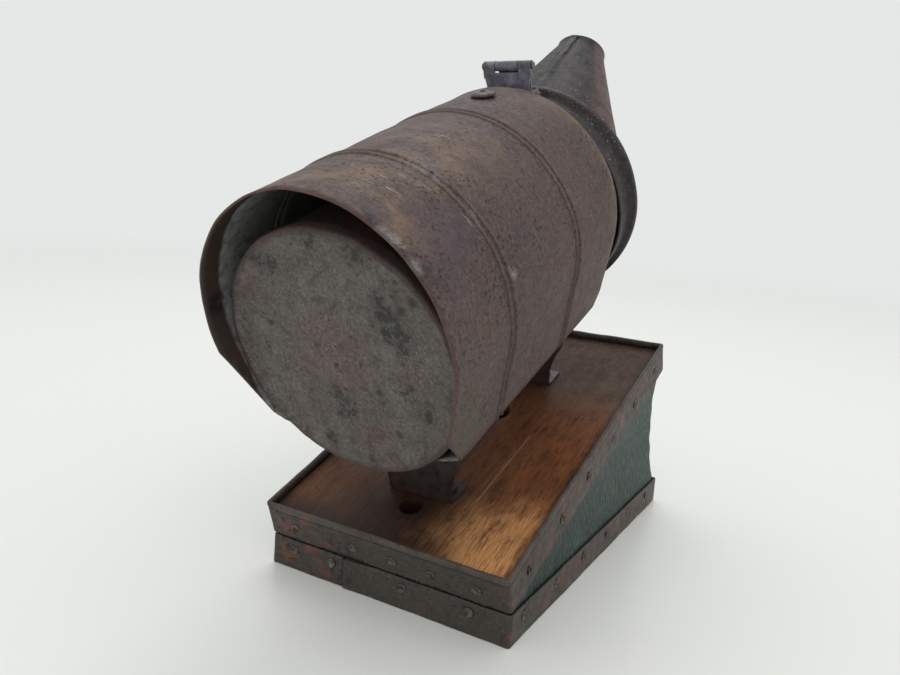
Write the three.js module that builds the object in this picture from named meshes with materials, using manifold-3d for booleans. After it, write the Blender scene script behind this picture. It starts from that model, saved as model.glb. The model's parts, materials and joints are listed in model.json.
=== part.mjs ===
// A bee smoker lying on the back board of its bellows: a round fire pot with a hinged cone lid,
// held by two sheet brackets over a wedge-shaped bellows, under a bent sheet heat shield.
// Millimetres, +Z up. The origin is the centre of the back board's flat underside, -Y is the
// closed end of the bellows and +Y its open end.

import * as THREE from "three";
import { mergeVertices } from "three/addons/utils/BufferGeometryUtils.js";
import Module from "manifold-3d";

const wasm = await Module();
wasm.setup();

const radians = THREE.MathUtils.degToRad;

// Driving dimensions of the bellows; gap is the clearance between neighbouring parts
const bellowsWidth = 122;
const bellowsLength = 196;
const openAngle = radians(20);
const boardThickness = 12.7;
const sheet = 0.8;
const coverThickness = 0.8;
const gap = 0.3;
const hingeHeight = 14.5;
const lowerBandHeight = 14.2;
const upperBandTop = 17.3;
const frontBoardLow = 0.8;
const frontBoardTop = frontBoardLow + boardThickness;
const bandCorner = 1.6;
const hemHeight = 2.8;
const hemWidth = 2;
const lapStart = -20;
const lapLength = 15;
const lapHeight = 0.6;
const boardInset = sheet + gap + coverThickness + gap;
const boardWidth = bellowsWidth - 2 * boardInset;
const boardLength = bellowsLength - 2 * boardInset;

// Air holes in the front board, and the leather flap under the intake
const outletHole = { v: 27, radius: 5.5 };
const intakeHole = { v: 107.5, radius: 8 };
const flapWidth = 28;
const flapStart = 94;
const flapLength = 28;
const flapThickness = 1.2;
const stripLength = 7;
const flapGap = 0.8;
const stripTackX = 9;
const stripTackV = flapStart - flapGap - stripLength / 2;
const stripTackHole = 1.1;

// Conical spring between the boards
const springWire = 1.1;
const springY = 152;
const springBaseRadius = 20;
const springTopRadius = 11;
const springTurns = 4;

// Fire pot, its tilt against the front board and its height over it
const potRadius = 49.9;
const potLength = 158.5;
const potTilt = radians(2.2);
const potBaseV = 1.3;
const potBaseW = 102.3;
const rimRadius = 51;
const rimLength = 5;
const potSeam = { angle: radians(235), width: 5.2, margin: 8, height: 0.7 };
const airInlet = { y: 24, radius: 6 };
const grateRadius = 47;
const grateY = 32;
const grateThickness = 1.2;
const grateHoleRadius = 3;
const grateHoleRings = [{ count: 1, radius: 0 }, { count: 6, radius: 15 }, { count: 12, radius: 29 }];
const grateLegs = { count: 3, width: 10, foot: 1.8 };

// Heat shield: an arch with straight lower sides, open below
const shieldRadius = 55.3;
const shieldCentreW = 113.9;
const shieldStart = -8;
const shieldEnd = 140;
const shieldArcEnd = radians(105);
const shieldLowX = 44.8;
const shieldLowW = 66.5;
const beadPositions = [31.5, 35, 92, 95.5];
const beadWidth = 1.3;
const beadHeight = 0.55;
const boltX = 3;
const boltV = 120;
const boltRadius = 2;
const boltHole = 2.6;
const boltHeadRadius = 5.7;
const tabStart = 4;
const tabEnd = 17;
const tabInnerX = 34;
const nearCornerCut = { reach: 12, left: 33, right: 15 };
const farCornerCut = { reach: 6, height: 6 };

// Brackets between the front board and the fire pot
const bracketPositions = [34.6, 138.6];
const footWidth = 33;
const footLength = 14;
const footScrewX = 10;
const footScrewOffset = 8.5;
const saddleLength = 8;
const saddleAngle = radians(43);
const screwHole = 1.8;
const saddleRivetHoleRadius = 1.8;

// Lid, its hinge and its oblique cone
const hingeY = 152.9;
const hingeZ = 67.7;
const hingeLength = 24;
const hingeEnd = hingeLength / 2;
const middleKnuckle = 6;
const barrelRadius = 2.3;
const pinRadius = 1;
const leafThickness = 0.9;
const leafTaper = 2;
const leafRivetX = 6;
const leafRivetHole = 1.3;
const fixedLeafStart = 131;
const fixedLeafRivetY = 138;
const lidLeafRivetY = 161.2;
const collarStart = 153;
const collarHem = 166;
const collarEnd = 170.4;
const collarRadius = 50.9;
const hemRadius = 54.7;
const coneBaseRadius = 48.5;
const coneTip = { y: 241, z: 54.5, radius: 12.2, tilt: radians(37.2) };
const rollRadius = 0.9;

// Tacks through the edge bands, by distance along each side
const tackRadius = 2.5;
const tackDepth = 5;
const tackShankRadius = 0.6;
const tackHoleRadius = 0.95;
const lowerSideTacks = [13, 46, 78, 110, 144, 176];
const upperSideTacks = [18, 51, 82, 114, 146, 180];
const lowerEndTacks = [-48, -27, 10, 42];
const upperEndTacks = [-46, -14, 6, 25, 46];
const lowerTackZ = 9.2;
const upperTackW = 7.4;

const finish = {
  wood: new THREE.MeshStandardMaterial({ color: 0x8a552b, roughness: 0.45, metalness: 0 }),
  tin: new THREE.MeshStandardMaterial({ color: 0x45403c, roughness: 0.55, metalness: 0.6 }),
  leather: new THREE.MeshStandardMaterial({ color: 0x35564f, roughness: 0.6, metalness: 0 }),
  flap: new THREE.MeshStandardMaterial({ color: 0x4a3526, roughness: 0.8, metalness: 0 }),
  pot: new THREE.MeshStandardMaterial({ color: 0x4b332d, roughness: 0.7, metalness: 0.4 }),
  galvanised: new THREE.MeshStandardMaterial({ color: 0x66625d, roughness: 0.6, metalness: 0.6 }),
  shield: new THREE.MeshStandardMaterial({ color: 0x5c4744, roughness: 0.55, metalness: 0.4 }),
  lid: new THREE.MeshStandardMaterial({ color: 0x3a3636, roughness: 0.55, metalness: 0.5 }),
  iron: new THREE.MeshStandardMaterial({ color: 0x2f2a29, roughness: 0.5, metalness: 0.6 }),
  steel: new THREE.MeshStandardMaterial({ color: 0x6c6a66, roughness: 0.4, metalness: 0.8 }),
};

// Joins and cuts

function solidFrom(geometry) {
  const bare = geometry.index ? geometry.toNonIndexed() : geometry.clone();
  bare.deleteAttribute("normal");
  bare.deleteAttribute("uv");
  const merged = mergeVertices(bare, 1e-4);
  const mesh = new wasm.Mesh({
    numProp: 3,
    vertProperties: new Float32Array(merged.attributes.position.array),
    triVerts: new Uint32Array(merged.index.array),
  });
  return new wasm.Manifold(mesh);
}

function geometryFrom(solid) {
  const mesh = solid.getMesh();
  const geometry = new THREE.BufferGeometry();
  geometry.setAttribute("position", new THREE.BufferAttribute(new Float32Array(mesh.vertProperties), 3));
  geometry.setIndex(new THREE.BufferAttribute(new Uint32Array(mesh.triVerts), 1));
  return geometry;
}

function cut(geometry, cutters) {
  let solid = solidFrom(geometry);
  for (const cutter of cutters) {
    solid = solid.subtract(solidFrom(cutter));
  }
  return geometryFrom(solid);
}

function join(geometries) {
  let solid = solidFrom(geometries[0]);
  for (const geometry of geometries.slice(1)) {
    solid = solid.add(solidFrom(geometry));
  }
  return geometryFrom(solid);
}

// Shapes that repeat

function box(x0, x1, y0, y1, z0, z1) {
  const geometry = new THREE.BoxGeometry(x1 - x0, y1 - y0, z1 - z0);
  return geometry.translate((x0 + x1) / 2, (y0 + y1) / 2, (z0 + z1) / 2);
}

// A round bar along Z between two heights
function post(x, y, z0, z1, radius, sides = 16) {
  const geometry = new THREE.CylinderGeometry(radius, radius, z1 - z0, sides);
  return geometry.rotateX(Math.PI / 2).translate(x, y, (z0 + z1) / 2);
}

// A round bar along X between two ends
function bar(x0, x1, y, z, radius, sides = 20) {
  const geometry = new THREE.CylinderGeometry(radius, radius, x1 - x0, sides);
  return geometry.rotateZ(Math.PI / 2).translate((x0 + x1) / 2, y, z);
}

// A closed outline of radius and Y turned about the Y axis, in either order of its points
function lathe(profile, sides = 48) {
  const points = profile.map(([radius, y]) => new THREE.Vector2(radius, y));
  if (THREE.ShapeUtils.area(points) < 0) {
    points.reverse();
  }
  points.push(points[0].clone());
  return new THREE.LatheGeometry(points, sides);
}

function roundedRectangle(width, length, corner) {
  const x = width / 2;
  const y = length / 2;
  const shape = new THREE.Shape();
  shape.moveTo(-x + corner, -y);
  shape.lineTo(x - corner, -y);
  shape.absarc(x - corner, -y + corner, corner, -Math.PI / 2, 0, false);
  shape.lineTo(x, y - corner);
  shape.absarc(x - corner, y - corner, corner, 0, Math.PI / 2, false);
  shape.lineTo(-x + corner, y);
  shape.absarc(-x + corner, y - corner, corner, Math.PI / 2, Math.PI, false);
  shape.lineTo(-x, -y + corner);
  shape.absarc(-x + corner, -y + corner, corner, Math.PI, 1.5 * Math.PI, false);
  return shape;
}

// A standing ring of sheet around a board, with its near end at y = 0
function sheetRing(wall, z0, z1) {
  const shape = roundedRectangle(bellowsWidth, bellowsLength, bandCorner);
  const inner = roundedRectangle(bellowsWidth - 2 * wall, bellowsLength - 2 * wall, bandCorner / 2);
  shape.holes.push(inner);
  const options = { depth: z1 - z0, bevelEnabled: false, curveSegments: 4 };
  return new THREE.ExtrudeGeometry(shape, options).translate(0, bellowsLength / 2, z0);
}

// An outline in the Y-Z plane made solid from -halfWidth to +halfWidth along X
function sideProfile(points, halfWidth) {
  const shape = new THREE.Shape(points.map(([y, z]) => new THREE.Vector2(y, z)));
  const geometry = new THREE.ExtrudeGeometry(shape, { depth: 2 * halfWidth, bevelEnabled: false });
  geometry.rotateX(Math.PI / 2).rotateZ(Math.PI / 2);
  return geometry.translate(-halfWidth, 0, 0);
}

// An outline in the X-Z plane made solid from y0 to y1
function endProfile(shape, y0, y1, curveSegments = 8) {
  const options = { depth: y1 - y0, bevelEnabled: false, curveSegments };
  return new THREE.ExtrudeGeometry(shape, options).rotateX(Math.PI / 2).translate(0, y1, 0);
}

// Groups: everything on the back board, everything on the front board, and the fire pot

const smoker = new THREE.Group();
const bellows = new THREE.Group();
bellows.position.y = -bellowsLength / 2;
smoker.add(bellows);

const front = new THREE.Group();
front.position.z = hingeHeight;
front.rotation.x = openAngle;
bellows.add(front);

const pot = new THREE.Group();
pot.position.set(0, potBaseV, potBaseW);
pot.rotation.x = potTilt;
front.add(pot);

function add(group, name, geometry, material) {
  const mesh = new THREE.Mesh(geometry, material);
  mesh.name = name;
  group.add(mesh);
}

// A point given by its distance and height over the front board, in the bellows group
function frontPoint(v, w) {
  const y = v * Math.cos(openAngle) - w * Math.sin(openAngle);
  const z = hingeHeight + v * Math.sin(openAngle) + w * Math.cos(openAngle);
  return [y, z];
}

// The fire pot's Y for a point of the front board's group
function potY(v, w) {
  return (v - potBaseV) * Math.cos(potTilt) + (w - potBaseW) * Math.sin(potTilt);
}

// Height over the front board of the fire pot's axis at a distance v
function potAxisW(v) {
  return potBaseW + (v - potBaseV) * Math.tan(potTilt);
}

// Tacks: a low domed head on a short six-sided shank, with the head towards -Y

function tackGeometry() {
  const head = lathe([[0, 1.3], [1.5, 0.95], [tackRadius, 0.1], [tackRadius - 0.3, 0], [0, 0]], 10);
  const shank = new THREE.CylinderGeometry(tackShankRadius, tackShankRadius, tackDepth + 0.4, 6);
  shank.translate(0, 0.2 - tackDepth / 2, 0);
  return join([head, shank]).rotateX(Math.PI);
}

function tackHole() {
  const hole = new THREE.CylinderGeometry(tackHoleRadius, tackHoleRadius, tackDepth + 2, 6);
  return hole.translate(0, tackDepth / 2, 0);
}

// Where each row of tacks goes: the name of its row, its places, and whether it is on the near end
const tackRows = [
  { name: "lower_side_tack", places: lowerSideTacks, near: false, height: lowerTackZ, group: bellows },
  { name: "upper_side_tack", places: upperSideTacks, near: false, height: upperTackW, group: front },
  { name: "lower_end_tack", places: lowerEndTacks, near: true, height: lowerTackZ, group: bellows },
  { name: "upper_end_tack", places: upperEndTacks, near: true, height: upperTackW, group: front },
];

function placeTack(geometry, row, place, proud) {
  if (row.near) {
    return geometry.translate(place, -proud, row.height);
  }
  return geometry.rotateZ(Math.PI / 2).translate(bellowsWidth / 2 + proud, place, row.height);
}

function tackHoles(group) {
  const holes = [];
  for (const row of tackRows.filter((each) => each.group === group)) {
    for (const place of row.places) {
      holes.push(placeTack(tackHole(), row, place, 1));
    }
  }
  return holes;
}

// Bellows

function backBoard() {
  const x = boardWidth / 2;
  const plank = box(-x, x, boardInset, boardInset + boardLength, 0, boardThickness);
  return cut(plank, tackHoles(bellows));
}

function footScrewPlaces() {
  const places = [];
  for (const v of bracketPositions) {
    places.push([-footScrewX, v + footScrewOffset]);
    places.push([footScrewX, v + footScrewOffset]);
  }
  return places;
}

function frontBoard() {
  const x = boardWidth / 2;
  const plank = box(-x, x, boardInset, boardInset + boardLength, frontBoardLow, frontBoardTop);
  const holes = [outletHole, intakeHole].map((hole) => post(0, hole.v, -5, 20, hole.radius, 32));
  for (const [screwX, screwV] of footScrewPlaces()) {
    holes.push(post(screwX, screwV, 2.5, 20, screwHole, 10));
  }
  for (const side of [-1, 1]) {
    holes.push(post(side * stripTackX, stripTackV, -1, 5, stripTackHole, 8));
  }
  return cut(plank, [...holes, ...tackHoles(front)]);
}

function lowerBand() {
  const ring = sheetRing(sheet, 0, lowerBandHeight);
  const lapOutline = new THREE.Shape();
  lapOutline.moveTo(lapStart, sheet / 2);
  lapOutline.lineTo(lapStart, -lapHeight);
  lapOutline.lineTo(lapStart + 2, -lapHeight);
  lapOutline.lineTo(lapStart + lapLength, 0);
  lapOutline.lineTo(lapStart + lapLength, sheet / 2);
  const lap = new THREE.ExtrudeGeometry(lapOutline, { depth: lowerBandHeight, bevelEnabled: false });
  return cut(join([ring, lap]), tackHoles(bellows));
}

function upperBand() {
  const ring = sheetRing(sheet, gap, upperBandTop);
  const hem = sheetRing(hemWidth, upperBandTop - hemHeight, upperBandTop - 0.3);
  return cut(join([ring, hem]), tackHoles(front));
}

// A wedge-shaped tube of leather whose ends go up between each board and its edge band
function coverProfile(inset, low, top) {
  const far = bellowsLength - inset;
  return [
    [inset, low],
    [far, low],
    [far, hingeHeight],
    frontPoint(far, 0),
    frontPoint(far, top),
    frontPoint(inset, top),
    [inset, hingeHeight],
  ];
}

function bellowsCover() {
  const outerInset = sheet + gap;
  const innerInset = outerInset + coverThickness;
  const outer = sideProfile(coverProfile(outerInset, 1, 13), bellowsWidth / 2 - outerInset);
  const inner = sideProfile(coverProfile(innerInset, -2, 16), bellowsWidth / 2 - innerInset);
  const frontHoles = tackHoles(front).map((hole) => hole.rotateX(openAngle).translate(0, 0, hingeHeight));
  return cut(outer, [inner, ...tackHoles(bellows), ...frontHoles]);
}

// The spring's wire follows a cone whose top is cut by the front board's slope
class SpringWire extends THREE.Curve {
  getPoint(t, target = new THREE.Vector3()) {
    const turn = t * springTurns * 2 * Math.PI;
    const radius = springBaseRadius + (springTopRadius - springBaseRadius) * t;
    const x = radius * Math.cos(turn);
    const y = springY + radius * Math.sin(turn);
    const low = boardThickness + gap + springWire;
    const board = hingeHeight + y * Math.tan(openAngle) + frontBoardLow / Math.cos(openAngle);
    const high = board - gap - springWire / Math.cos(openAngle);
    const climb = THREE.MathUtils.smoothstep(t, 0.04, 0.96);
    return target.set(x, y, low + (high - low) * climb);
  }
}

function bellowsSpring() {
  const section = new THREE.Shape();
  section.absarc(0, 0, springWire, 0, 2 * Math.PI, false);
  const options = { steps: 64, curveSegments: 3, bevelEnabled: false, extrudePath: new SpringWire() };
  return new THREE.ExtrudeGeometry(section, options);
}

function intakeFlap() {
  const top = frontBoardLow - gap;
  const x = flapWidth / 2;
  return box(-x, x, flapStart, flapStart + flapLength, top - flapThickness, top);
}

function flapStrip() {
  const top = frontBoardLow - gap;
  const x = flapWidth / 2;
  const end = flapStart - flapGap;
  const plate = box(-x, x, end - stripLength, end, top - flapThickness, top);
  const holes = [-1, 1].map((side) => post(side * stripTackX, stripTackV, -5, 5, stripTackHole, 8));
  return cut(plate, holes);
}

function stripTack(side) {
  const low = frontBoardLow - 2 * gap - flapThickness;
  const head = post(0, 0, low - 0.8, low, 2, 12);
  const shank = post(0, 0, low - 0.2, 4.4, 0.7, 8);
  return join([head, shank]).translate(side * stripTackX, stripTackV, 0);
}

// Fire pot

function potBody() {
  const low = 1 + gap;
  const inner = potRadius - sheet;
  const tube = lathe([[inner, low], [potRadius, low], [potRadius, potLength], [inner, potLength]]);
  const halfSeam = potSeam.width / 2;
  const outer = potRadius + potSeam.height;
  const seam = box(-halfSeam, halfSeam, potSeam.margin, potLength - potSeam.margin, inner - 0.2, outer);
  seam.rotateY(potSeam.angle);
  const inlet = post(0, airInlet.y, -potRadius - 5, -potRadius + 8, airInlet.radius, 28);
  const hole = post(boltX, potY(boltV, potAxisW(boltV) + potRadius), 40, 60, boltHole, 14);
  const saddleHoles = bracketPositions.map((v) => saddleRivetHole(v));
  return cut(join([tube, seam]), [inlet, hole, ...leafHoles(fixedLeafRivetY), ...saddleHoles]);
}

// Holes through a wall on top of the pot for a leaf's two rivets
function leafHoles(y) {
  return [-1, 1].map((side) => post(side * leafRivetX, y, 40, 60, leafRivetHole, 10));
}

function saddleRivetHole(v) {
  return post(0, saddleRivetY(v), -60, -40, saddleRivetHoleRadius, 10);
}

function saddleRivetY(v) {
  return potY(v + saddleLength / 2 + 1, potAxisW(v) - potRadius);
}

// A disc whose rim is folded over the end of the pot
function potBase() {
  return lathe([
    [0, 0], [rimRadius - 2.2, 0], [rimRadius - 1.7, -0.5], [rimRadius - 0.5, -0.5], [rimRadius, 0],
    [rimRadius, rimLength], [potRadius + gap, rimLength], [potRadius + gap, 1], [0, 1],
  ]);
}

function grate() {
  const disc = new THREE.CylinderGeometry(grateRadius, grateRadius, grateThickness, 36);
  disc.translate(0, grateY, 0);
  const holes = [];
  for (const { count, radius } of grateHoleRings) {
    for (let i = 0; i < count; i += 1) {
      const angle = (i / count) * 2 * Math.PI;
      const hole = new THREE.CylinderGeometry(grateHoleRadius, grateHoleRadius, 6, 8);
      holes.push(hole.translate(radius * Math.cos(angle), grateY, radius * Math.sin(angle)));
    }
  }
  const legs = [];
  const halfLeg = grateLegs.width / 2;
  for (let i = 0; i < grateLegs.count; i += 1) {
    const leg = box(-halfLeg, halfLeg, grateLegs.foot, grateY, grateRadius - 4, grateRadius - 3);
    legs.push(leg.rotateY((i / grateLegs.count) * 2 * Math.PI + Math.PI / 3));
  }
  return cut(join([disc, ...legs]), holes);
}

// Heat shield

// One face of the arched sheet, offset outwards, as a list of points from foot to foot
function shieldPath(offset) {
  const radius = shieldRadius + offset;
  const points = [];
  const steps = 44;
  const tangent = new THREE.Vector2(Math.cos(shieldArcEnd), -Math.sin(shieldArcEnd));
  const footDrop = (shieldCentreW + shieldRadius * Math.cos(shieldArcEnd) - shieldLowW) / -tangent.y;
  const archX = radius * Math.sin(shieldArcEnd);
  const archZ = shieldCentreW + radius * Math.cos(shieldArcEnd);
  const foot = new THREE.Vector2(archX + tangent.x * footDrop, archZ + tangent.y * footDrop);
  points.push(new THREE.Vector2(-foot.x, foot.y));
  for (let i = 0; i <= steps; i += 1) {
    const angle = -shieldArcEnd + (i / steps) * 2 * shieldArcEnd;
    points.push(new THREE.Vector2(radius * Math.sin(angle), shieldCentreW + radius * Math.cos(angle)));
  }
  points.push(foot);
  return points;
}

function shieldBand(outerOffset, y0, y1) {
  const shape = new THREE.Shape([...shieldPath(outerOffset), ...shieldPath(-sheet).reverse()]);
  return endProfile(shape, y0, y1);
}

// A tab bent in under the pot from each lower edge, near the closed end
function shieldTab(side) {
  const top = shieldLowW + 0.9;
  const shape = new THREE.Shape();
  shape.moveTo(side * (shieldLowX - 1.2), top);
  shape.lineTo(side * (shieldLowX + 0.1), top);
  shape.lineTo(side * (shieldLowX - 0.3), shieldLowW - 0.9);
  shape.lineTo(side * tabInnerX, shieldLowW - 3.6);
  shape.lineTo(side * tabInnerX, shieldLowW - 2.8);
  shape.lineTo(side * (shieldLowX - 1.2), shieldLowW - 0.1);
  return endProfile(shape, tabStart, tabEnd);
}

// A wedge that takes off one of the sheet's lower corners
function cornerCut(side, y, reachY, reachW) {
  const low = shieldLowW;
  const halfWidth = 40;
  const points = [[y, low - 10], [y + reachY, low - 10], [y + reachY, low], [y, low + reachW]];
  return sideProfile(points, halfWidth).translate(side * halfWidth, 0, 0);
}

function heatShield() {
  const pieces = [shieldBand(0, shieldStart, shieldEnd)];
  for (const v of beadPositions) {
    pieces.push(shieldBand(beadHeight, v, v + beadWidth));
  }
  const whole = join(pieces);
  const corners = [
    cornerCut(-1, shieldStart - 0.1, nearCornerCut.reach, nearCornerCut.left),
    cornerCut(1, shieldStart - 0.1, nearCornerCut.reach, nearCornerCut.right),
    cornerCut(-1, shieldEnd + 0.1, -farCornerCut.reach, farCornerCut.height),
    cornerCut(1, shieldEnd + 0.1, -farCornerCut.reach, farCornerCut.height),
  ];
  const hole = post(boltX, boltV, 150, 180, boltHole, 14);
  const trimmed = cut(whole, [...corners, hole]);
  return join([trimmed, shieldTab(-1), shieldTab(1)]);
}

function shieldBolt() {
  const seat = shieldCentreW + shieldRadius + gap;
  const tail = potAxisW(boltV) + potRadius - 6.2;
  const profile = [[0, 0], [boltHeadRadius, 0], [boltHeadRadius, 0.7], [4.9, 1.3], [2, 1.7], [0, 1.7]];
  const slot = box(-1, 1, 1.1, 4, -3, 3);
  const head = cut(lathe(profile, 28), [slot]).rotateX(Math.PI / 2).rotateZ(radians(30));
  head.translate(boltX, boltV, seat);
  return join([head, post(boltX, boltV, tail, seat + 0.3, boltRadius, 14)]);
}

function shieldSpacer() {
  const low = potAxisW(boltV) + potRadius + 2 * gap;
  const high = shieldCentreW + shieldRadius - sheet - 3 * gap;
  return cut(post(boltX, boltV, low, high, 4, 20), [post(boltX, boltV, low - 1, high + 1, 2.5, 14)]);
}

function shieldNut() {
  const top = potAxisW(boltV) + potRadius - sheet - 3 * gap;
  const nut = box(boltX - 4, boltX + 4, boltV - 4, boltV + 4, top - 3, top);
  return cut(nut, [post(boltX, boltV, top - 5, top + 5, 2.4, 14)]);
}

// Brackets

// The web's outline: a narrow foot, sides that flare out, and a hollow top against the pot
function webOutline(v) {
  const axisW = potAxisW(v);
  const saddle = potRadius + gap + sheet / 2;
  const foot = footWidth / 2;
  const wingX = saddle * Math.sin(saddleAngle);
  const wingW = axisW - saddle * Math.cos(saddleAngle);
  const low = frontBoardTop + gap;
  const shape = new THREE.Shape();
  shape.moveTo(-foot, low);
  shape.lineTo(foot, low);
  shape.lineTo(foot, low + 6);
  shape.quadraticCurveTo(foot + 2, low + 16, foot + 8, low + 24);
  shape.quadraticCurveTo(wingX - 3, wingW - 12, wingX, wingW);
  shape.absarc(0, axisW, saddle, -Math.PI / 2 + saddleAngle, -Math.PI / 2 - saddleAngle, true);
  shape.quadraticCurveTo(-wingX + 3, wingW - 12, -foot - 8, low + 24);
  shape.quadraticCurveTo(-foot - 2, low + 16, -foot, low + 6);
  return shape;
}

// A saddle of sheet against the underside of the pot
function saddleOutline(axisW) {
  const inner = potRadius + gap;
  const outer = inner + sheet;
  const shape = new THREE.Shape();
  const start = -Math.PI / 2 - saddleAngle;
  const end = -Math.PI / 2 + saddleAngle;
  shape.absarc(0, axisW, outer, start, end, false);
  shape.absarc(0, axisW, inner, end, start, true);
  return shape;
}

function bracket(v) {
  const low = frontBoardTop + gap;
  const web = endProfile(webOutline(v), v, v + sheet);
  const axisW = potAxisW(v);
  const saddle = endProfile(saddleOutline(axisW), v, v + saddleLength);
  const foot = box(-footWidth / 2, footWidth / 2, v, v + footLength, low, low + sheet);
  const bend = bar(-footWidth / 2, footWidth / 2, v + sheet, low + sheet, sheet, 12);
  const holes = footScrewPlaces().map(([x, y]) => post(x, y, low - 2, low + 3, screwHole, 10));
  const rivetHole = post(0, v + saddleLength / 2 + 1, axisW - 60, axisW - 40, saddleRivetHoleRadius, 10);
  return cut(join([web, saddle, foot, bend]), [...holes, rivetHole]);
}

// A rivet whose shank runs along Z, with a domed head below or above
function rivet(shankLow, shankHigh, shankRadius, headRadius, headHeight) {
  const head = lathe([[0, 0], [headRadius, 0], [headRadius * 0.75, headHeight * 0.7], [0, headHeight]], 16);
  head.rotateX(Math.PI / 2).translate(0, 0, shankHigh);
  const tail = post(0, 0, shankLow - 0.8, shankLow, headRadius * 0.8, 12);
  return join([head, post(0, 0, shankLow - 0.2, shankHigh + 0.2, shankRadius, 10), tail]);
}

function saddleRivet(v) {
  const inside = -potRadius + sheet + gap;
  const outside = -potRadius - gap - sheet - gap - 0.15;
  const stem = rivet(-inside, -outside, 1.3, 3, 1.3);
  return stem.rotateX(Math.PI).translate(0, saddleRivetY(v), 0);
}

function footScrew(x, v) {
  const seat = frontBoardTop + 2 * gap + sheet;
  const head = lathe([[0, 0], [3.4, 0], [3.1, 1], [1.8, 1.9], [0, 2.1]], 20);
  const slot = box(-0.5, 0.5, 1, 4, -5, 5);
  const headPiece = cut(head, [slot]).rotateX(Math.PI / 2).translate(0, 0, seat);
  return join([headPiece, post(0, 0, 4, seat + 0.3, 1.4, 12)]).translate(x, v, 0);
}

// Lid hinge: knuckles round a pin that lies across the top of the pot

function knuckles(spans) {
  return spans.map(([x0, x1]) => bar(x0, x1, hingeY, hingeZ, barrelRadius));
}

function pinHole() {
  return bar(-hingeLength, hingeLength, hingeY, hingeZ, pinRadius + gap, 14);
}

function fixedLeaf() {
  const outer = [[-hingeEnd, -middleKnuckle - gap / 2], [middleKnuckle + gap / 2, hingeEnd]];
  const yNear = hingeY - barrelRadius;
  const low = potRadius + gap;
  const high = hingeZ - barrelRadius - gap;
  const inner = hingeEnd - leafTaper;
  const pieces = knuckles(outer);
  for (const [x0, x1] of outer) {
    pieces.push(box(x0, x1, yNear, yNear + leafThickness, hingeZ - 5, hingeZ));
  }
  const upright = new THREE.Shape();
  upright.moveTo(-inner, low);
  upright.lineTo(inner, low);
  upright.quadraticCurveTo(inner, low + 6, hingeEnd, high);
  upright.lineTo(-hingeEnd, high);
  upright.quadraticCurveTo(-inner, low + 6, -inner, low);
  pieces.push(endProfile(upright, yNear, yNear + leafThickness, 8));
  pieces.push(box(-inner, inner, fixedLeafStart, yNear + leafThickness, low, low + leafThickness));
  return cut(join(pieces), [pinHole(), ...leafHoles(fixedLeafRivetY)]);
}

function lidLeaf() {
  const x = middleKnuckle - gap / 2;
  const yFar = hingeY + barrelRadius;
  const low = collarRadius + sheet + gap;
  const inner = hingeEnd - leafTaper;
  const pieces = knuckles([[-x, x]]);
  pieces.push(box(-x, x, yFar - leafThickness, yFar, low + 5, hingeZ));
  pieces.push(box(-inner, inner, yFar - leafThickness, yFar, low, hingeZ - 4));
  pieces.push(box(-inner, inner, yFar - leafThickness, collarHem - 1.2, low, low + leafThickness));
  return cut(join(pieces), [pinHole(), ...leafHoles(lidLeafRivetY)]);
}

function hingePin() {
  const heads = [-1, 1].map((side) => {
    const x0 = side > 0 ? hingeEnd + gap : -hingeEnd - gap - 0.7;
    return bar(x0, x0 + 0.7, hingeY, hingeZ, 1.6, 16);
  });
  return join([bar(-hingeEnd - gap - 0.5, hingeEnd + gap + 0.5, hingeY, hingeZ, pinRadius, 14), ...heads]);
}

function leafRivet(side, y, wallOutside, wallInside) {
  const top = wallOutside + gap + leafThickness + gap;
  return rivet(wallInside - gap, top, 0.9, 2.2, 0.9).translate(side * leafRivetX, y, 0);
}

// Lid

function lidCollar() {
  const wall = collarRadius + sheet;
  const profile = [
    [collarRadius, collarStart],
    [wall, collarStart],
    [wall, collarHem - 0.6],
    [hemRadius - 0.6, collarHem],
    [hemRadius, collarHem + 0.8], [hemRadius, collarEnd - 0.8], [hemRadius - 0.8, collarEnd],
    [coneBaseRadius - 3, collarEnd],
    [coneBaseRadius - 3, collarEnd - sheet],
    [collarRadius, collarEnd - sheet],
  ];
  return cut(lathe(profile), leafHoles(lidLeafRivetY));
}

// A cone between an upright base circle and a tilted tip circle
function obliqueCone(base, tip, sides = 48) {
  const geometry = new THREE.CylinderGeometry(1, 1, 1, sides);
  const position = geometry.attributes.position;
  const along = new THREE.Vector3(0, Math.cos(tip.tilt), Math.sin(tip.tilt));
  const across = new THREE.Vector3(0, -Math.sin(tip.tilt), Math.cos(tip.tilt));
  for (let i = 0; i < position.count; i += 1) {
    const x = position.getX(i);
    const z = position.getZ(i);
    if (position.getY(i) < 0) {
      position.setXYZ(i, x * base.radius, base.y, z * base.radius);
    } else {
      const point = new THREE.Vector3(x * tip.radius, tip.y, tip.z);
      point.addScaledVector(across, z * tip.radius).addScaledVector(along, tip.reach ?? 0);
      position.setXYZ(i, point.x, point.y, point.z);
    }
  }
  return geometry;
}

// The folded seam runs up the top of the cone
function coneSeam(baseY) {
  const tipTopY = coneTip.y - coneTip.radius * Math.sin(coneTip.tilt);
  const tipTopZ = coneTip.z + coneTip.radius * Math.cos(coneTip.tilt);
  const startZ = coneBaseRadius;
  const length = Math.hypot(tipTopY - baseY, tipTopZ - startZ) - 3;
  const slope = Math.atan2(tipTopZ - startZ, tipTopY - baseY);
  const ridge = box(-1.7, 1.7, 1, length, -0.5, 1);
  return ridge.rotateX(slope).translate(0, baseY, startZ);
}

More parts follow.
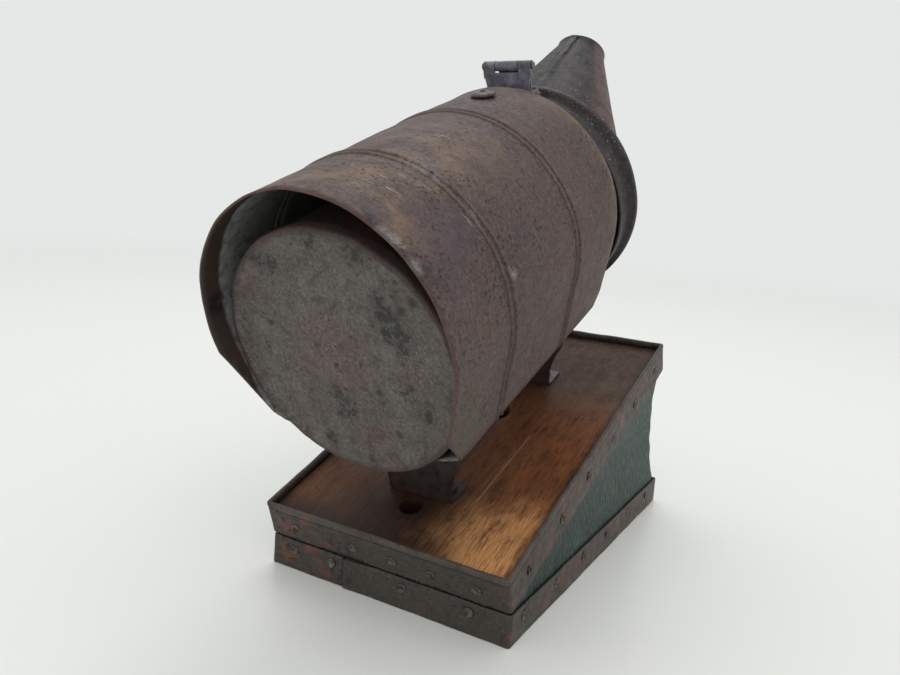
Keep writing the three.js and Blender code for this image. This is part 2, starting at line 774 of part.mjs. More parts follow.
function nozzleCone() {
  const baseY = collarEnd + gap;
  const outer = obliqueCone({ radius: coneBaseRadius, y: baseY }, coneTip);
  const inner = obliqueCone(
    { radius: coneBaseRadius - sheet - 0.2, y: baseY - 1 },
    { ...coneTip, radius: coneTip.radius - sheet, reach: 1 },
  );
  const flange = new THREE.CylinderGeometry(coneBaseRadius + 2.2, coneBaseRadius + 2.2, sheet, 48);
  flange.translate(0, baseY + sheet / 2, 0);
  const roll = new THREE.TorusGeometry(coneTip.radius, rollRadius, 6, 36);
  roll.rotateX(Math.PI / 2 + coneTip.tilt).translate(0, coneTip.y, coneTip.z);
  const shell = cut(join([outer, flange, coneSeam(baseY)]), [inner]);
  return join([shell, roll]);
}

// Build up the model

add(bellows, "back_board", backBoard(), finish.wood);
add(bellows, "lower_edge_band", lowerBand(), finish.tin);
add(bellows, "bellows_cover", bellowsCover(), finish.leather);
add(bellows, "bellows_spring", bellowsSpring(), finish.steel);

add(front, "front_board", frontBoard(), finish.wood);
add(front, "upper_edge_band", upperBand(), finish.tin);
add(front, "intake_flap", intakeFlap(), finish.flap);
add(front, "flap_strip", flapStrip(), finish.flap);
add(front, "flap_strip_tack_left", stripTack(-1), finish.iron);
add(front, "flap_strip_tack_right", stripTack(1), finish.iron);

for (const row of tackRows) {
  row.places.forEach((place, index) => {
    const geometry = placeTack(tackGeometry(), row, place, gap);
    add(row.group, `${row.name}_${index + 1}`, geometry, finish.iron);
  });
}

add(front, "near_bracket", bracket(bracketPositions[0]), finish.iron);
add(front, "far_bracket", bracket(bracketPositions[1]), finish.iron);
footScrewPlaces().forEach(([x, v], index) => {
  add(front, `bracket_screw_${index + 1}`, footScrew(x, v), finish.iron);
});
add(pot, "near_bracket_rivet", saddleRivet(bracketPositions[0]), finish.iron);
add(pot, "far_bracket_rivet", saddleRivet(bracketPositions[1]), finish.iron);

add(pot, "fire_pot_body", potBody(), finish.pot);
add(pot, "fire_pot_base", potBase(), finish.galvanised);
add(pot, "grate", grate(), finish.galvanised);

add(front, "heat_shield", heatShield(), finish.shield);
add(front, "shield_bolt", shieldBolt(), finish.iron);
add(front, "shield_spacer", shieldSpacer(), finish.iron);
add(front, "shield_nut", shieldNut(), finish.iron);

add(pot, "hinge_fixed_leaf", fixedLeaf(), finish.iron);
add(pot, "hinge_lid_leaf", lidLeaf(), finish.iron);
add(pot, "hinge_pin", hingePin(), finish.steel);
for (const side of [-1, 1]) {
  const place = side < 0 ? "left" : "right";
  const fixedRivet = leafRivet(side, fixedLeafRivetY, potRadius, potRadius - sheet - 0.4);
  add(pot, `fixed_leaf_rivet_${place}`, fixedRivet, finish.iron);
  const lidRivet = leafRivet(side, lidLeafRivetY, collarRadius + sheet, collarRadius - 0.4);
  add(pot, `lid_leaf_rivet_${place}`, lidRivet, finish.iron);
}

add(pot, "lid_collar", lidCollar(), finish.lid);
add(pot, "nozzle_cone", nozzleCone(), finish.lid);

export default smoker;
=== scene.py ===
# Bee smoker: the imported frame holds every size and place, this script gives it its looks.
# Metres, +Z up. Sizes in the dictionaries are in millimetres unless a note says otherwise.

import json
import math
import random

import bmesh
import bpy
from mathutils import Matrix, Vector, noise


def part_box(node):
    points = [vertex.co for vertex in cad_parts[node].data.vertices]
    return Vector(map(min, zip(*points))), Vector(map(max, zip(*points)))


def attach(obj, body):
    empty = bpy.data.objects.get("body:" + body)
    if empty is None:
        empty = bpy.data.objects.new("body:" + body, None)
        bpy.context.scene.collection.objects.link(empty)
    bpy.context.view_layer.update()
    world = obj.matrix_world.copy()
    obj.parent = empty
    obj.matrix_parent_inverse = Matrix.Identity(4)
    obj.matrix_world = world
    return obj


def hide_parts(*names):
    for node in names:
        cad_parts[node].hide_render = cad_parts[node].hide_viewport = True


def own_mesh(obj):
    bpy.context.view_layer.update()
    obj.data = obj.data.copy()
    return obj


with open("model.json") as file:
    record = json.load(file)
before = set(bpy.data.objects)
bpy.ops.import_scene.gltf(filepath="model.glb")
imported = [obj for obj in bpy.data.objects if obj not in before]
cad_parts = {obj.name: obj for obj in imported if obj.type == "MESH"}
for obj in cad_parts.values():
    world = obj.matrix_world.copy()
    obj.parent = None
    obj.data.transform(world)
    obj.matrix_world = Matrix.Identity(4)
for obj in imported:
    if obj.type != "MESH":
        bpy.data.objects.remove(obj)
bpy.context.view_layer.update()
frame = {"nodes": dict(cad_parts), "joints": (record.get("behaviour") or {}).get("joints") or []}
scene = bpy.context.scene
mm = 0.001
print("frame loaded")


# Places: the back board's frame, the sloping front board's and the fire pot's, all in mm

def jointPlace(name):
    for joint in frame["joints"]:
        if joint["name"] == name:
            return Vector(joint["pos_m"])


places = {
    "openAngle": 20.0,       # degrees between the boards
    "potTilt": 2.2,          # degrees between the fire pot and the front board
    "potBaseV": 1.3,         # the pot's base along the front board
    "potBaseW": 102.3,       # the pot's axis over the front board, at its base
}

hinge = jointPlace("bellows_squeeze")
toMetres = Matrix.Scale(mm, 4)
backFrame = Matrix.Translation((0, hinge.y, 0)) @ toMetres
frontFrame = (
    Matrix.Translation(hinge)
    @ Matrix.Rotation(math.radians(places["openAngle"]), 4, "X")
    @ toMetres
)
potFrame = (
    frontFrame
    @ Matrix.Translation((0, places["potBaseV"], places["potBaseW"]))
    @ Matrix.Rotation(math.radians(places["potTilt"]), 4, "X")
)
hingeHeight = hinge.z / mm


# Camera and stage

view = {
    "position": (0.1736, -0.3560, 0.1722),   # metres
    "heading": 29.82,        # degrees left of straight ahead
    "pitch": 10.31,          # degrees down
    "roll": 3.74,
    "lens": 31.65,
    "sensor": 36.0,
}


def makeCamera():
    data = bpy.data.cameras.new("camera")
    data.lens = view["lens"]
    data.sensor_width = view["sensor"]
    camera = bpy.data.objects.new("camera", data)
    scene.collection.objects.link(camera)
    turn = Matrix.Rotation(math.radians(view["heading"]), 4, "Z")
    tip = Matrix.Rotation(math.radians(90 - view["pitch"]), 4, "X")
    roll = Matrix.Rotation(math.radians(view["roll"]), 4, "Z")
    camera.matrix_world = Matrix.Translation(view["position"]) @ turn @ tip @ roll
    data.clip_start = 0.01
    scene.camera = camera


makeCamera()


# Node helpers

finishTone = 0.72            # how dark the finishes are against the numbers below


def srgb(red, green, blue, tone=finishTone):
    def linear(value):
        value /= 255
        return tone * (value / 12.92 if value <= 0.04045 else ((value + 0.055) / 1.055) ** 2.4)
    return (linear(red), linear(green), linear(blue), 1.0)


class paintMaker:
    # A material being made: each method adds a node and gives back its output
    def __init__(self, name, local=None):
        self.material = bpy.data.materials.new(name)
        self.material.use_nodes = True
        self.tree = self.material.node_tree
        self.tree.nodes.clear()
        self.output = self.node("ShaderNodeOutputMaterial")
        self.shader = self.node("ShaderNodeBsdfPrincipled")
        self.tree.links.new(self.shader.outputs["BSDF"], self.output.inputs["Surface"])
        self.place = self.coordinates(local)
        self.shape = None

    def node(self, kind, **settings):
        made = self.tree.nodes.new(kind)
        for key, value in settings.items():
            setattr(made, key, value)
        return made

    def feed(self, socket, value):
        if isinstance(value, bpy.types.NodeSocket):
            self.tree.links.new(value, socket)
        else:
            socket.default_value = value

    def coordinates(self, local):
        # Rest coordinates in mm, in the frame given
        source = self.node("ShaderNodeTexCoord").outputs["Object"]
        spot, turn, scale = (local or toMetres).decompose()
        mapping = self.node("ShaderNodeMapping", vector_type="TEXTURE")
        mapping.inputs["Location"].default_value = spot
        mapping.inputs["Rotation"].default_value = turn.to_euler()
        mapping.inputs["Scale"].default_value = scale
        self.tree.links.new(source, mapping.inputs["Vector"])
        return mapping.outputs["Vector"]

    def stretch(self, factors, source=None, shift=(0, 0, 0)):
        made = self.node("ShaderNodeVectorMath", operation="MULTIPLY_ADD")
        self.feed(made.inputs[0], source or self.place)
        made.inputs[1].default_value = factors
        made.inputs[2].default_value = shift
        return made.outputs[0]

    def noise(self, size, detail=4.0, rough=0.55, bend=0.0, source=None):
        made = self.node("ShaderNodeTexNoise")
        self.feed(made.inputs["Vector"], source or self.place)
        made.inputs["Scale"].default_value = 1.0 / size
        made.inputs["Detail"].default_value = detail
        made.inputs["Roughness"].default_value = rough
        made.inputs["Distortion"].default_value = bend
        return made.outputs["Fac"]

    def cells(self, size, source=None):
        made = self.node("ShaderNodeTexVoronoi")
        self.feed(made.inputs["Vector"], source or self.place)
        made.inputs["Scale"].default_value = 1.0 / size
        return made.outputs["Distance"]

    def ramp(self, value, stops):
        # stops: (position, number or tone)
        made = self.node("ShaderNodeValToRGB")
        self.feed(made.inputs["Fac"], value)
        elements = made.color_ramp.elements
        while len(elements) < len(stops):
            elements.new(0.5)
        for element, (position, colour) in zip(elements, stops):
            element.position = position
            element.color = srgb(*colour) if isinstance(colour, tuple) else (colour, colour, colour, 1.0)
        return made.outputs["Color"]

    def math(self, operation, first, second=0.0):
        made = self.node("ShaderNodeMath", operation=operation)
        self.feed(made.inputs[0], first)
        self.feed(made.inputs[1], second)
        return made.outputs[0]

    def mix(self, factor, first, second):
        made = self.node("ShaderNodeMix", data_type="RGBA")
        self.feed(made.inputs[0], factor)
        self.feed(made.inputs[6], first)
        self.feed(made.inputs[7], second)
        return made.outputs[2]

    def over(self, under, mask, strength, tone):
        # A finish of its own colour where the mask is, over what is under it
        return self.mix(self.times(mask, strength), under, srgb(*tone))

    def rise(self, value, start, end):
        # 0 at start and 1 at end, in a straight line
        return self.ramp(value, [(start, 0.0), (end, 1.0)])

    def times(self, first, second):
        return self.math("MULTIPLY", first, second)

    def uneven(self, value, wave, reach):
        # A value shifted by a noise
        return self.math("ADD", value, self.times(wave, reach))

    def axis(self, index):
        made = self.node("ShaderNodeSeparateXYZ")
        self.feed(made.inputs[0], self.place)
        return made.outputs[index]

    def spot(self, centre, radius, soft, source=None, squeeze=(1, 1, 1)):
        # 1 within radius of centre, falling to 0 over soft mm
        shift = tuple(-c * s for c, s in zip(centre, squeeze))
        near = self.stretch(squeeze, source, shift)
        made = self.node("ShaderNodeVectorMath", operation="LENGTH")
        self.feed(made.inputs[0], near)
        return self.fall(made.outputs["Value"], radius, radius + soft)

    def marks(self, places, ragged=None):
        # places: (centre, radius, soft, how strong); ragged breaks up their outlines
        total = 0.0
        for centre, radius, soft, strong in places:
            one = self.times(self.spot(centre, radius, soft), strong)
            total = self.math("MAXIMUM", one, total)
        if ragged is not None:
            total = self.times(total, ragged)
        return total

    def band(self, value, start, end):
        # 0 below start and 1 above end
        return self.math("SUBTRACT", 1.0, self.fall(value, start, end))

    def mottle(self, size, start, end, shift=(0, 0, 0), stretched=(1, 1, 1), detail=4.0, bend=0.0):
        # Patches: 0 where the noise is under start, 1 where it is over end
        patches = self.noise(size, detail, 0.62, bend, self.stretch(stretched, None, shift))
        return self.rise(patches, start, end)

    def distance(self, value, centre):
        # How far a value is from centre, either way
        return self.math("ABSOLUTE", self.math("SUBTRACT", value, centre))

    def fall(self, value, start, end):
        # 1 at start and 0 at end
        made = self.node("ShaderNodeMapRange", interpolation_type="SMOOTHSTEP")
        self.feed(made.inputs["Value"], value)
        made.inputs["From Min"].default_value = start
        made.inputs["From Max"].default_value = end
        made.inputs["To Min"].default_value = 1.0
        made.inputs["To Max"].default_value = 0.0
        return made.outputs["Result"]

    def relief(self, height, depth, strength):
        # depth in mm
        made = self.node("ShaderNodeBump")
        made.inputs["Strength"].default_value = strength
        made.inputs["Distance"].default_value = depth * mm
        self.feed(made.inputs["Height"], height)
        if self.shape is not None:
            self.tree.links.new(self.shape, made.inputs["Normal"])
        self.shape = made.outputs["Normal"]

    def finish(self, colour, roughness, metallic=0.0, specular=0.5):
        self.feed(self.shader.inputs["Base Color"], colour)
        self.feed(self.shader.inputs["Roughness"], roughness)
        self.shader.inputs["Metallic"].default_value = metallic
        self.shader.inputs["Specular IOR Level"].default_value = specular
        if self.shape is not None:
            self.tree.links.new(self.shape, self.shader.inputs["Normal"])
        return self.material


# Materials

shield = {
    "radius": 55.3,
    "centreW": 113.9,        # the arch's centre over the front board
    "start": -8.0,           # along the front board
    "end": 140.0,
    "arcEnd": 105.0,         # degrees each side of the top
    "lowX": 44.8,            # where the straight sides end
    "lowW": 66.5,
    "sheet": 0.8,
    "beads": [32.1, 35.7, 92.6, 96.2],   # along the front board
    "beadHeight": 0.75,
    "beadWidth": 0.55,
    "nearCut": (12.0, 33.0, 15.0),  # along the sheet, up the left side, up the right side
    "farCut": (6.0, 6.0),
    "tab": (4.0, 17.0),      # along the front board
    "tabX": 34.0,            # how near the middle the tabs reach
    "dents": 0.45,
    "lump": (18.5, 1.5, 5.0),       # degrees from the top, width in degrees, mm past the edge
}


def shieldPaint():
    # Rust-brown tarred sheet: x, v, w of the front board
    p = paintMaker("rusted shield", frontFrame)
    base = p.ramp(p.noise(40, 3), [(0.38, (88, 70, 71)), (0.62, (104, 82, 76))])
    grainy = p.ramp(p.noise(1.7, 6, 0.75),
                    [(0.28, (52, 40, 42)), (0.5, (94, 77, 75)), (0.72, (136, 116, 107))])
    colour = p.mix(0.62, base, grainy)
    v = p.axis(1)
    height = p.axis(2)
    ragged = p.mottle(4.5, 0.4, 0.56, (8, 3, 1), detail=6, bend=0.3)
    # tan brushed patches along the top
    tan = p.mottle(13, 0.46, 0.62, (3, 0, 11), (0.45, 1, 1), 5, 0.5)
    tanWhere = p.times(p.band(height, 146, 163), p.fall(v, 30, 118))
    colour = p.over(colour, p.times(tan, tanWhere), 0.62, (148, 123, 99))
    rimTan = p.marks([((40, 5, 152), 3, 14, 1), ((26, 14, 163), 2, 12, 0.8)], ragged)
    colour = p.over(colour, rimTan, 0.42, (136, 108, 80))
    # painted bluish sheen between the near rim and the first bead
    blueSheen = p.marks([((43, 14, 148), 3, 17, 1), ((47, 4, 141), 2, 14, 0.6)])
    colour = p.over(colour, blueSheen, 0.36, (78, 68, 90))
    # greenish grey towards the near lower edge, yellowish at the far end
    low = p.times(p.fall(height, 78, 118), p.fall(v, 0, 40))
    colour = p.over(colour, low, 0.5, (96, 92, 76))
    endTan = p.times(p.band(v, 128, 141), p.mottle(9, 0.4, 0.6))
    colour = p.over(colour, endTan, 0.5, (150, 128, 86))
    # red-brown flank
    flank = p.times(p.fall(height, 96, 140), p.band(v, 20, 60))
    colour = p.over(colour, flank, 0.35, (96, 68, 64))
    # dark blue-black smears by the rim, rust marks beside the beads
    smears = p.marks([((30, -5, 160), 1, 6, 1), ((42, -7, 149), 1, 7, 1), ((47, -3, 142), 1, 7, 1),
                      ((36, -6, 155), 0, 6, 0.8)], ragged)
    colour = p.over(colour, smears, 0.85, (42, 42, 48))
    rusty = p.marks([((51, 19, 135), 1, 6, 1), ((55, 17, 114), 1, 8, 0.8), ((54, 38, 126), 0, 7, 0.7),
                     ((48, 36, 141), 0, 6, 0.7)], ragged)
    colour = p.over(colour, rusty, 0.45, (116, 74, 56))
    # dark pits
    crowd = p.ramp(p.noise(22, 2), [(0.38, 0.35), (0.6, 1.0)])
    pits = p.times(p.mottle(1.5, 0.56, 0.63, detail=2), crowd)
    colour = p.over(colour, pits, 0.8, (40, 32, 35))
    dust = p.mottle(0.9, 0.64, 0.72, (20, 20, 4), detail=2)
    colour = p.over(colour, dust, 0.35, (172, 158, 148))
    # whitish wear on the beads and the rim
    flaky = p.mottle(3.4, 0.4, 0.55, (2, 8, 5), (1, 0.5, 1), 7, 0.3)
    flaky = p.times(flaky, p.ramp(p.noise(0.8, 3), [(0.3, 0.3), (0.6, 1.0)]))
    beadWear = p.math("ADD", p.fall(p.distance(v, 34.0), 1.0, 4.6), p.fall(p.distance(v, 94.5), 1.0, 3.0))
    onBead = p.marks([((24, 34, 163.6), 3, 8, 1), ((43, 31, 149), 1, 5, 0.9), ((46, 29, 144), 1, 4, 0.8),
                      ((30, 34, 160), 0, 5, 0.5)])
    white = p.times(p.times(beadWear, onBead), flaky)
    rimWear = p.marks([((38.4, -7, 153.7), 1.5, 5, 1), ((34, -7, 157.5), 0, 5, 0.7),
                       ((44.7, -7, 146.4), 0, 5.5, 0.8)], flaky)
    flankWear = p.marks([((53.9, 38.5, 126.3), 0.5, 3.5, 0.9), ((53.5, 36.8, 128), 0.3, 2.5, 0.8)], flaky)
    # the tabs' bent edge: worn pale, and also a painted highlight where the light catches it
    tabWearAndHighlight = p.marks([((42, 3.5, 64.5), 0, 3, 1), ((37, 3.5, 63.5), 0, 3, 1)])
    for wear in (rimWear, flankWear, tabWearAndHighlight):
        white = p.math("MAXIMUM", white, wear)
    colour = p.over(colour, white, 0.72, (178, 175, 168))
    # each bead: a painted highlight along its crest and painted shade in the lines beside it
    for bead in shield["beads"]:
        away = p.distance(v, bead)
        crest = p.times(p.fall(away, 0.2, 0.7), p.band(height, 96, 150))
        colour = p.over(colour, crest, 0.35, (150, 132, 120))
        beadShade = p.times(p.fall(away, 1.0, 1.7), p.band(away, 0.5, 0.9))
        colour = p.over(colour, beadShade, 0.5, (48, 38, 39))
    # short scratches, bright and thin
    drawn = p.stretch((0.1, 1.5, 0.1), None, (0, 4, 2))
    strokes = p.rise(p.noise(1.1, 1, 0.5, 0.2, drawn), 0.66, 0.7)
    scratched = p.marks([((17, 65, 166), 3, 9, 1), ((20, 12, 165), 3, 10, 0.9), ((17, 27, 166), 2, 8, 0.8),
                         ((44, 29, 148), 0, 5, 0.9)])
    colour = p.over(colour, p.times(strokes, scratched), 0.9, (206, 190, 166))
    # worn edge at the rim
    rim = p.fall(v, -7.8, -6.8)
    colour = p.over(colour, rim, 0.6, (104, 74, 64))
    rough = p.ramp(p.noise(7, 5, 0.65), [(0.3, 0.5), (0.7, 0.68)])
    p.relief(p.noise(1.3, 5, 0.7), 0.2, 0.9)
    p.relief(pits, -0.16, 0.9)
    return p.finish(colour, rough, 0.0, 0.3)


def shieldInsidePaint():
    # Grey galvanised face, darker deeper in and towards the top of the arch, with a brown rusted band at the
    # rim
    p = paintMaker("shield inside", frontFrame)
    v = p.axis(1)
    base = p.ramp(p.noise(4, 5, 0.65), [(0.32, (112, 114, 112)), (0.68, (184, 187, 184))])
    # darker deeper in along the sheet, and towards the top of the arch
    deeperDark = p.band(p.uneven(v, p.noise(12, 3), 12.0), 14, 60)
    colour = p.over(base, deeperDark, 0.6, (96, 86, 86))
    colour = p.over(colour, p.band(p.axis(2), 150, 168), 0.4, (112, 100, 98))
    brown = p.fall(p.uneven(v, p.noise(9, 3), 3.0), 1.5, 4)
    colour = p.mix(brown, colour, srgb(66, 52, 47))
    rust = p.mottle(4, 0.55, 0.7)
    colour = p.over(colour, rust, 0.3, (84, 66, 58))
    blob = p.marks([((-53, -2, 118), 2, 5, 1)], p.mottle(4, 0.3, 0.5, (4, 4, 4)))
    colour = p.over(colour, blob, 0.8, (22, 20, 26))
    p.relief(p.noise(1.8, 4, 0.6), 0.12, 0.7)
    return p.finish(colour, 0.62, 0.0, 0.3)


def potPaint():
    # Dark red-brown sheet, sooted: x, y, z of the pot
    p = paintMaker("fire-browned pot", potFrame)
    base = p.ramp(p.noise(18, 4, 0.6), [(0.35, (58, 44, 42)), (0.65, (88, 64, 56))])
    soot = p.rise(p.noise(5, 5, 0.65), 0.45, 0.7)
    colour = p.over(base, soot, 0.6, (34, 28, 29))
    specks = p.rise(p.noise(1.6, 3), 0.62, 0.7)
    colour = p.over(colour, specks, 0.3, (124, 104, 90))
    rough = p.ramp(soot, [(0.0, 0.55), (1.0, 0.36)])
    p.relief(p.noise(1.8, 4, 0.6), 0.16, 0.8)
    p.relief(soot, 0.15, 0.6)
    return p.finish(colour, rough, 0.0, 0.45)


baseFace = {
    # marks on the pot's base: centre (x, y, z in the pot), radius, soft edge, how strong
    "scabs": [
        ((22, 0, 27), 1, 5, 0.9), ((24, 0, 21), 2, 6, 1), ((27, 0, 13), 3, 7, 1), ((29, 0, 8), 1, 6, 1),
        ((-6, 0, -17), 2, 6, 0.9), ((-3, 0, -22), 3, 7, 1), ((-14, 0, -39), 1, 6, 1),
        ((35, 0, -19), 1, 5, 0.9), ((29, 0, -8), 0, 4, 0.9), ((-24, 0, 35), 1, 8, 1),
        ((-30, 0, 37), 0, 6, 0.9), ((-2, 0, 46), 1, 7, 0.9), ((16, 0, 43), 1, 8, 1),
        ((-44, 0, 20), 0, 6, 0.8), ((30, 0, 33), 0, 7, 0.8), ((4, 0, -46), 0, 8, 0.7),
    ],
    "pits": [
        ((-48, 0, 16), 0.4, 2.2, 1), ((-30.5, 0, 10), 0.4, 2.0, 1), ((28, 0, 2.5), 0.3, 1.8, 1),
        ((31, 0, 24), 0.5, 2.4, 1), ((36, 0, 27), 0.5, 2.6, 1), ((15, 0, -12), 0.3, 1.8, 0.9),
        ((20, 0, -30), 0.4, 2.4, 0.9),
    ],
    "pale": [
        ((35, 0, 3), 4, 14, 1), ((-8, 0, 10), 5, 16, 0.7), ((-3, 0, -24), 2, 9, 0.9),
        ((30, 0, -16), 2, 12, 0.7), ((-22, 0, 24), 2, 12, 0.5), ((10, 0, 18), 2, 12, 0.5),
    ],
    "bloom": [
        ((-3, 0, 1), 6, 20, 1), ((-40, 0, 27), 2, 12, 0.9), ((31, 0, -3), 1, 7, 1), ((8, 0, -30), 4, 14, 0.7),
        ((-22, 0, -24), 3, 14, 0.6),
    ],
}


def basePaint():
    # Mottled grey zinc with rust bloom, dark scabs and pale specks
    p = paintMaker("mottled base", potFrame)
    base = p.ramp(p.noise(13, 6, 0.68, 0.3), [(0.32, (78, 70, 67)), (0.48, (104, 97, 92)),
                                              (0.56, (112, 108, 101)), (0.7, (132, 128, 120))])
    fine = p.ramp(p.noise(1.4, 6, 0.75),
                  [(0.28, (52, 47, 46)), (0.5, (104, 98, 93)), (0.72, (164, 158, 150))])
    colour = p.mix(0.52, base, fine)
    ragged = p.mottle(3.0, 0.38, 0.62, (6, 0, 2), detail=7, bend=0.4)
    # reddish bloom
    bloom = p.marks(baseFace["bloom"], p.mottle(6, 0.38, 0.6, (1, 1, 9)))
    colour = p.over(colour, bloom, 0.55, (116, 76, 74))
    worn = p.mottle(5, 0.5, 0.66, (12, 0, 40), detail=7, bend=0.6)
    colour = p.over(colour, worn, 0.55, (62, 54, 52))
    # dark scabs: soft grey-green stains, then ragged crusts on them
    stain = p.marks(baseFace["scabs"])
    colour = p.over(colour, stain, 0.42, (64, 66, 64))
    crust = p.times(stain, ragged)
    scabs = p.mottle(7.5, 0.62, 0.68, (15, 0, 5), (1, 1, 0.75), 6)
    crust = p.math("MAXIMUM", crust, p.times(scabs, 0.7))
    crust = p.rise(p.uneven(crust, p.noise(1.6, 6, 0.75), 0.6), 0.66, 1.0)
    colour = p.over(colour, crust, 0.72, (46, 48, 47))
    pits = p.math("MAXIMUM", p.mottle(2.1, 0.64, 0.7, (0, 0, 90), detail=3), p.marks(baseFace["pits"]))
    colour = p.over(colour, pits, 0.7, (32, 28, 29))
    # pale salt specks
    specks = p.mottle(0.8, 0.58, 0.7, (50, 0, 30), detail=5)
    crowd = p.marks(baseFace["pale"])
    faint = p.times(p.mottle(16, 0.5, 0.68, (5, 0, 60), detail=2), 0.5)
    specks = p.times(specks, p.math("MAXIMUM", crowd, faint))
    colour = p.over(colour, specks, 0.75, (186, 183, 178))
    # rusty rolled rim
    length = p.node("ShaderNodeVectorMath", operation="LENGTH")
    p.feed(length.inputs[0], p.stretch((1, 0, 1)))
    rim = p.band(p.uneven(length.outputs["Value"], p.noise(5, 4), 2.0), 48.6, 50.8)
    colour = p.over(colour, rim, 0.75, (78, 56, 54))
    rough = p.ramp(p.noise(4, 4, 0.6), [(0.3, 0.55), (0.7, 0.75)])
    p.relief(p.noise(1.4, 6, 0.7), 0.26, 0.9)
    p.relief(crust, 0.3, 0.8)
    p.relief(pits, -0.25, 0.9)
    return p.finish(colour, rough, 0.0, 0.32)


def lidPaint(name, flank):
    # Blackened sheet with rust streaks; flank turns the right-hand side redder
    p = paintMaker(name, potFrame)
    base = p.ramp(p.noise(10, 4, 0.6), [(0.32, (26, 24, 26)), (0.68, (50, 45, 48))])
    fine = p.ramp(p.noise(1.3, 6, 0.72), [(0.3, (24, 21, 23)), (0.7, (86, 79, 80))])
    colour = p.mix(0.5, base, fine)
    streak = p.mottle(3.5, 0.5, 0.7, (0, 0, 0), (1, 0.22, 1))
    colour = p.over(colour, streak, 0.45, (92, 68, 60))
    if flank:
        radius = p.math("SUBTRACT", 135.9, p.times(p.axis(1), 0.514))
        side = p.band(p.math("DIVIDE", p.axis(0), radius), 0.6, 0.8)
        colour = p.over(colour, side, 0.72, (112, 84, 80))
        seam = p.fall(p.distance(p.axis(0), 2.6), 0.3, 1.6)
        seam = p.times(seam, p.band(p.axis(2), 0, 20))
        colour = p.over(colour, seam, 0.75, (24, 21, 23))
    soot = p.mottle(6, 0.5, 0.66, (30, 0, 0), (1, 1, 1), 6)
    colour = p.over(colour, soot, 0.7, (28, 26, 28))
    specks = p.mottle(1.1, 0.64, 0.71, (0, 0, 0), (1, 0.5, 1), 2, 0.2)
    crowd = p.ramp(p.noise(16, 3), [(0.42, 0.25), (0.62, 1.0)])
    colour = p.over(colour, p.times(specks, crowd), 0.75, (176, 172, 172))
    rough = p.ramp(p.noise(6, 4, 0.6), [(0.3, 0.46), (0.7, 0.66)])
    p.relief(p.noise(1.4, 5, 0.66), 0.2, 0.9)
    p.relief(soot, 0.14, 0.6)
    return p.finish(colour, rough, 0.0, 0.34)


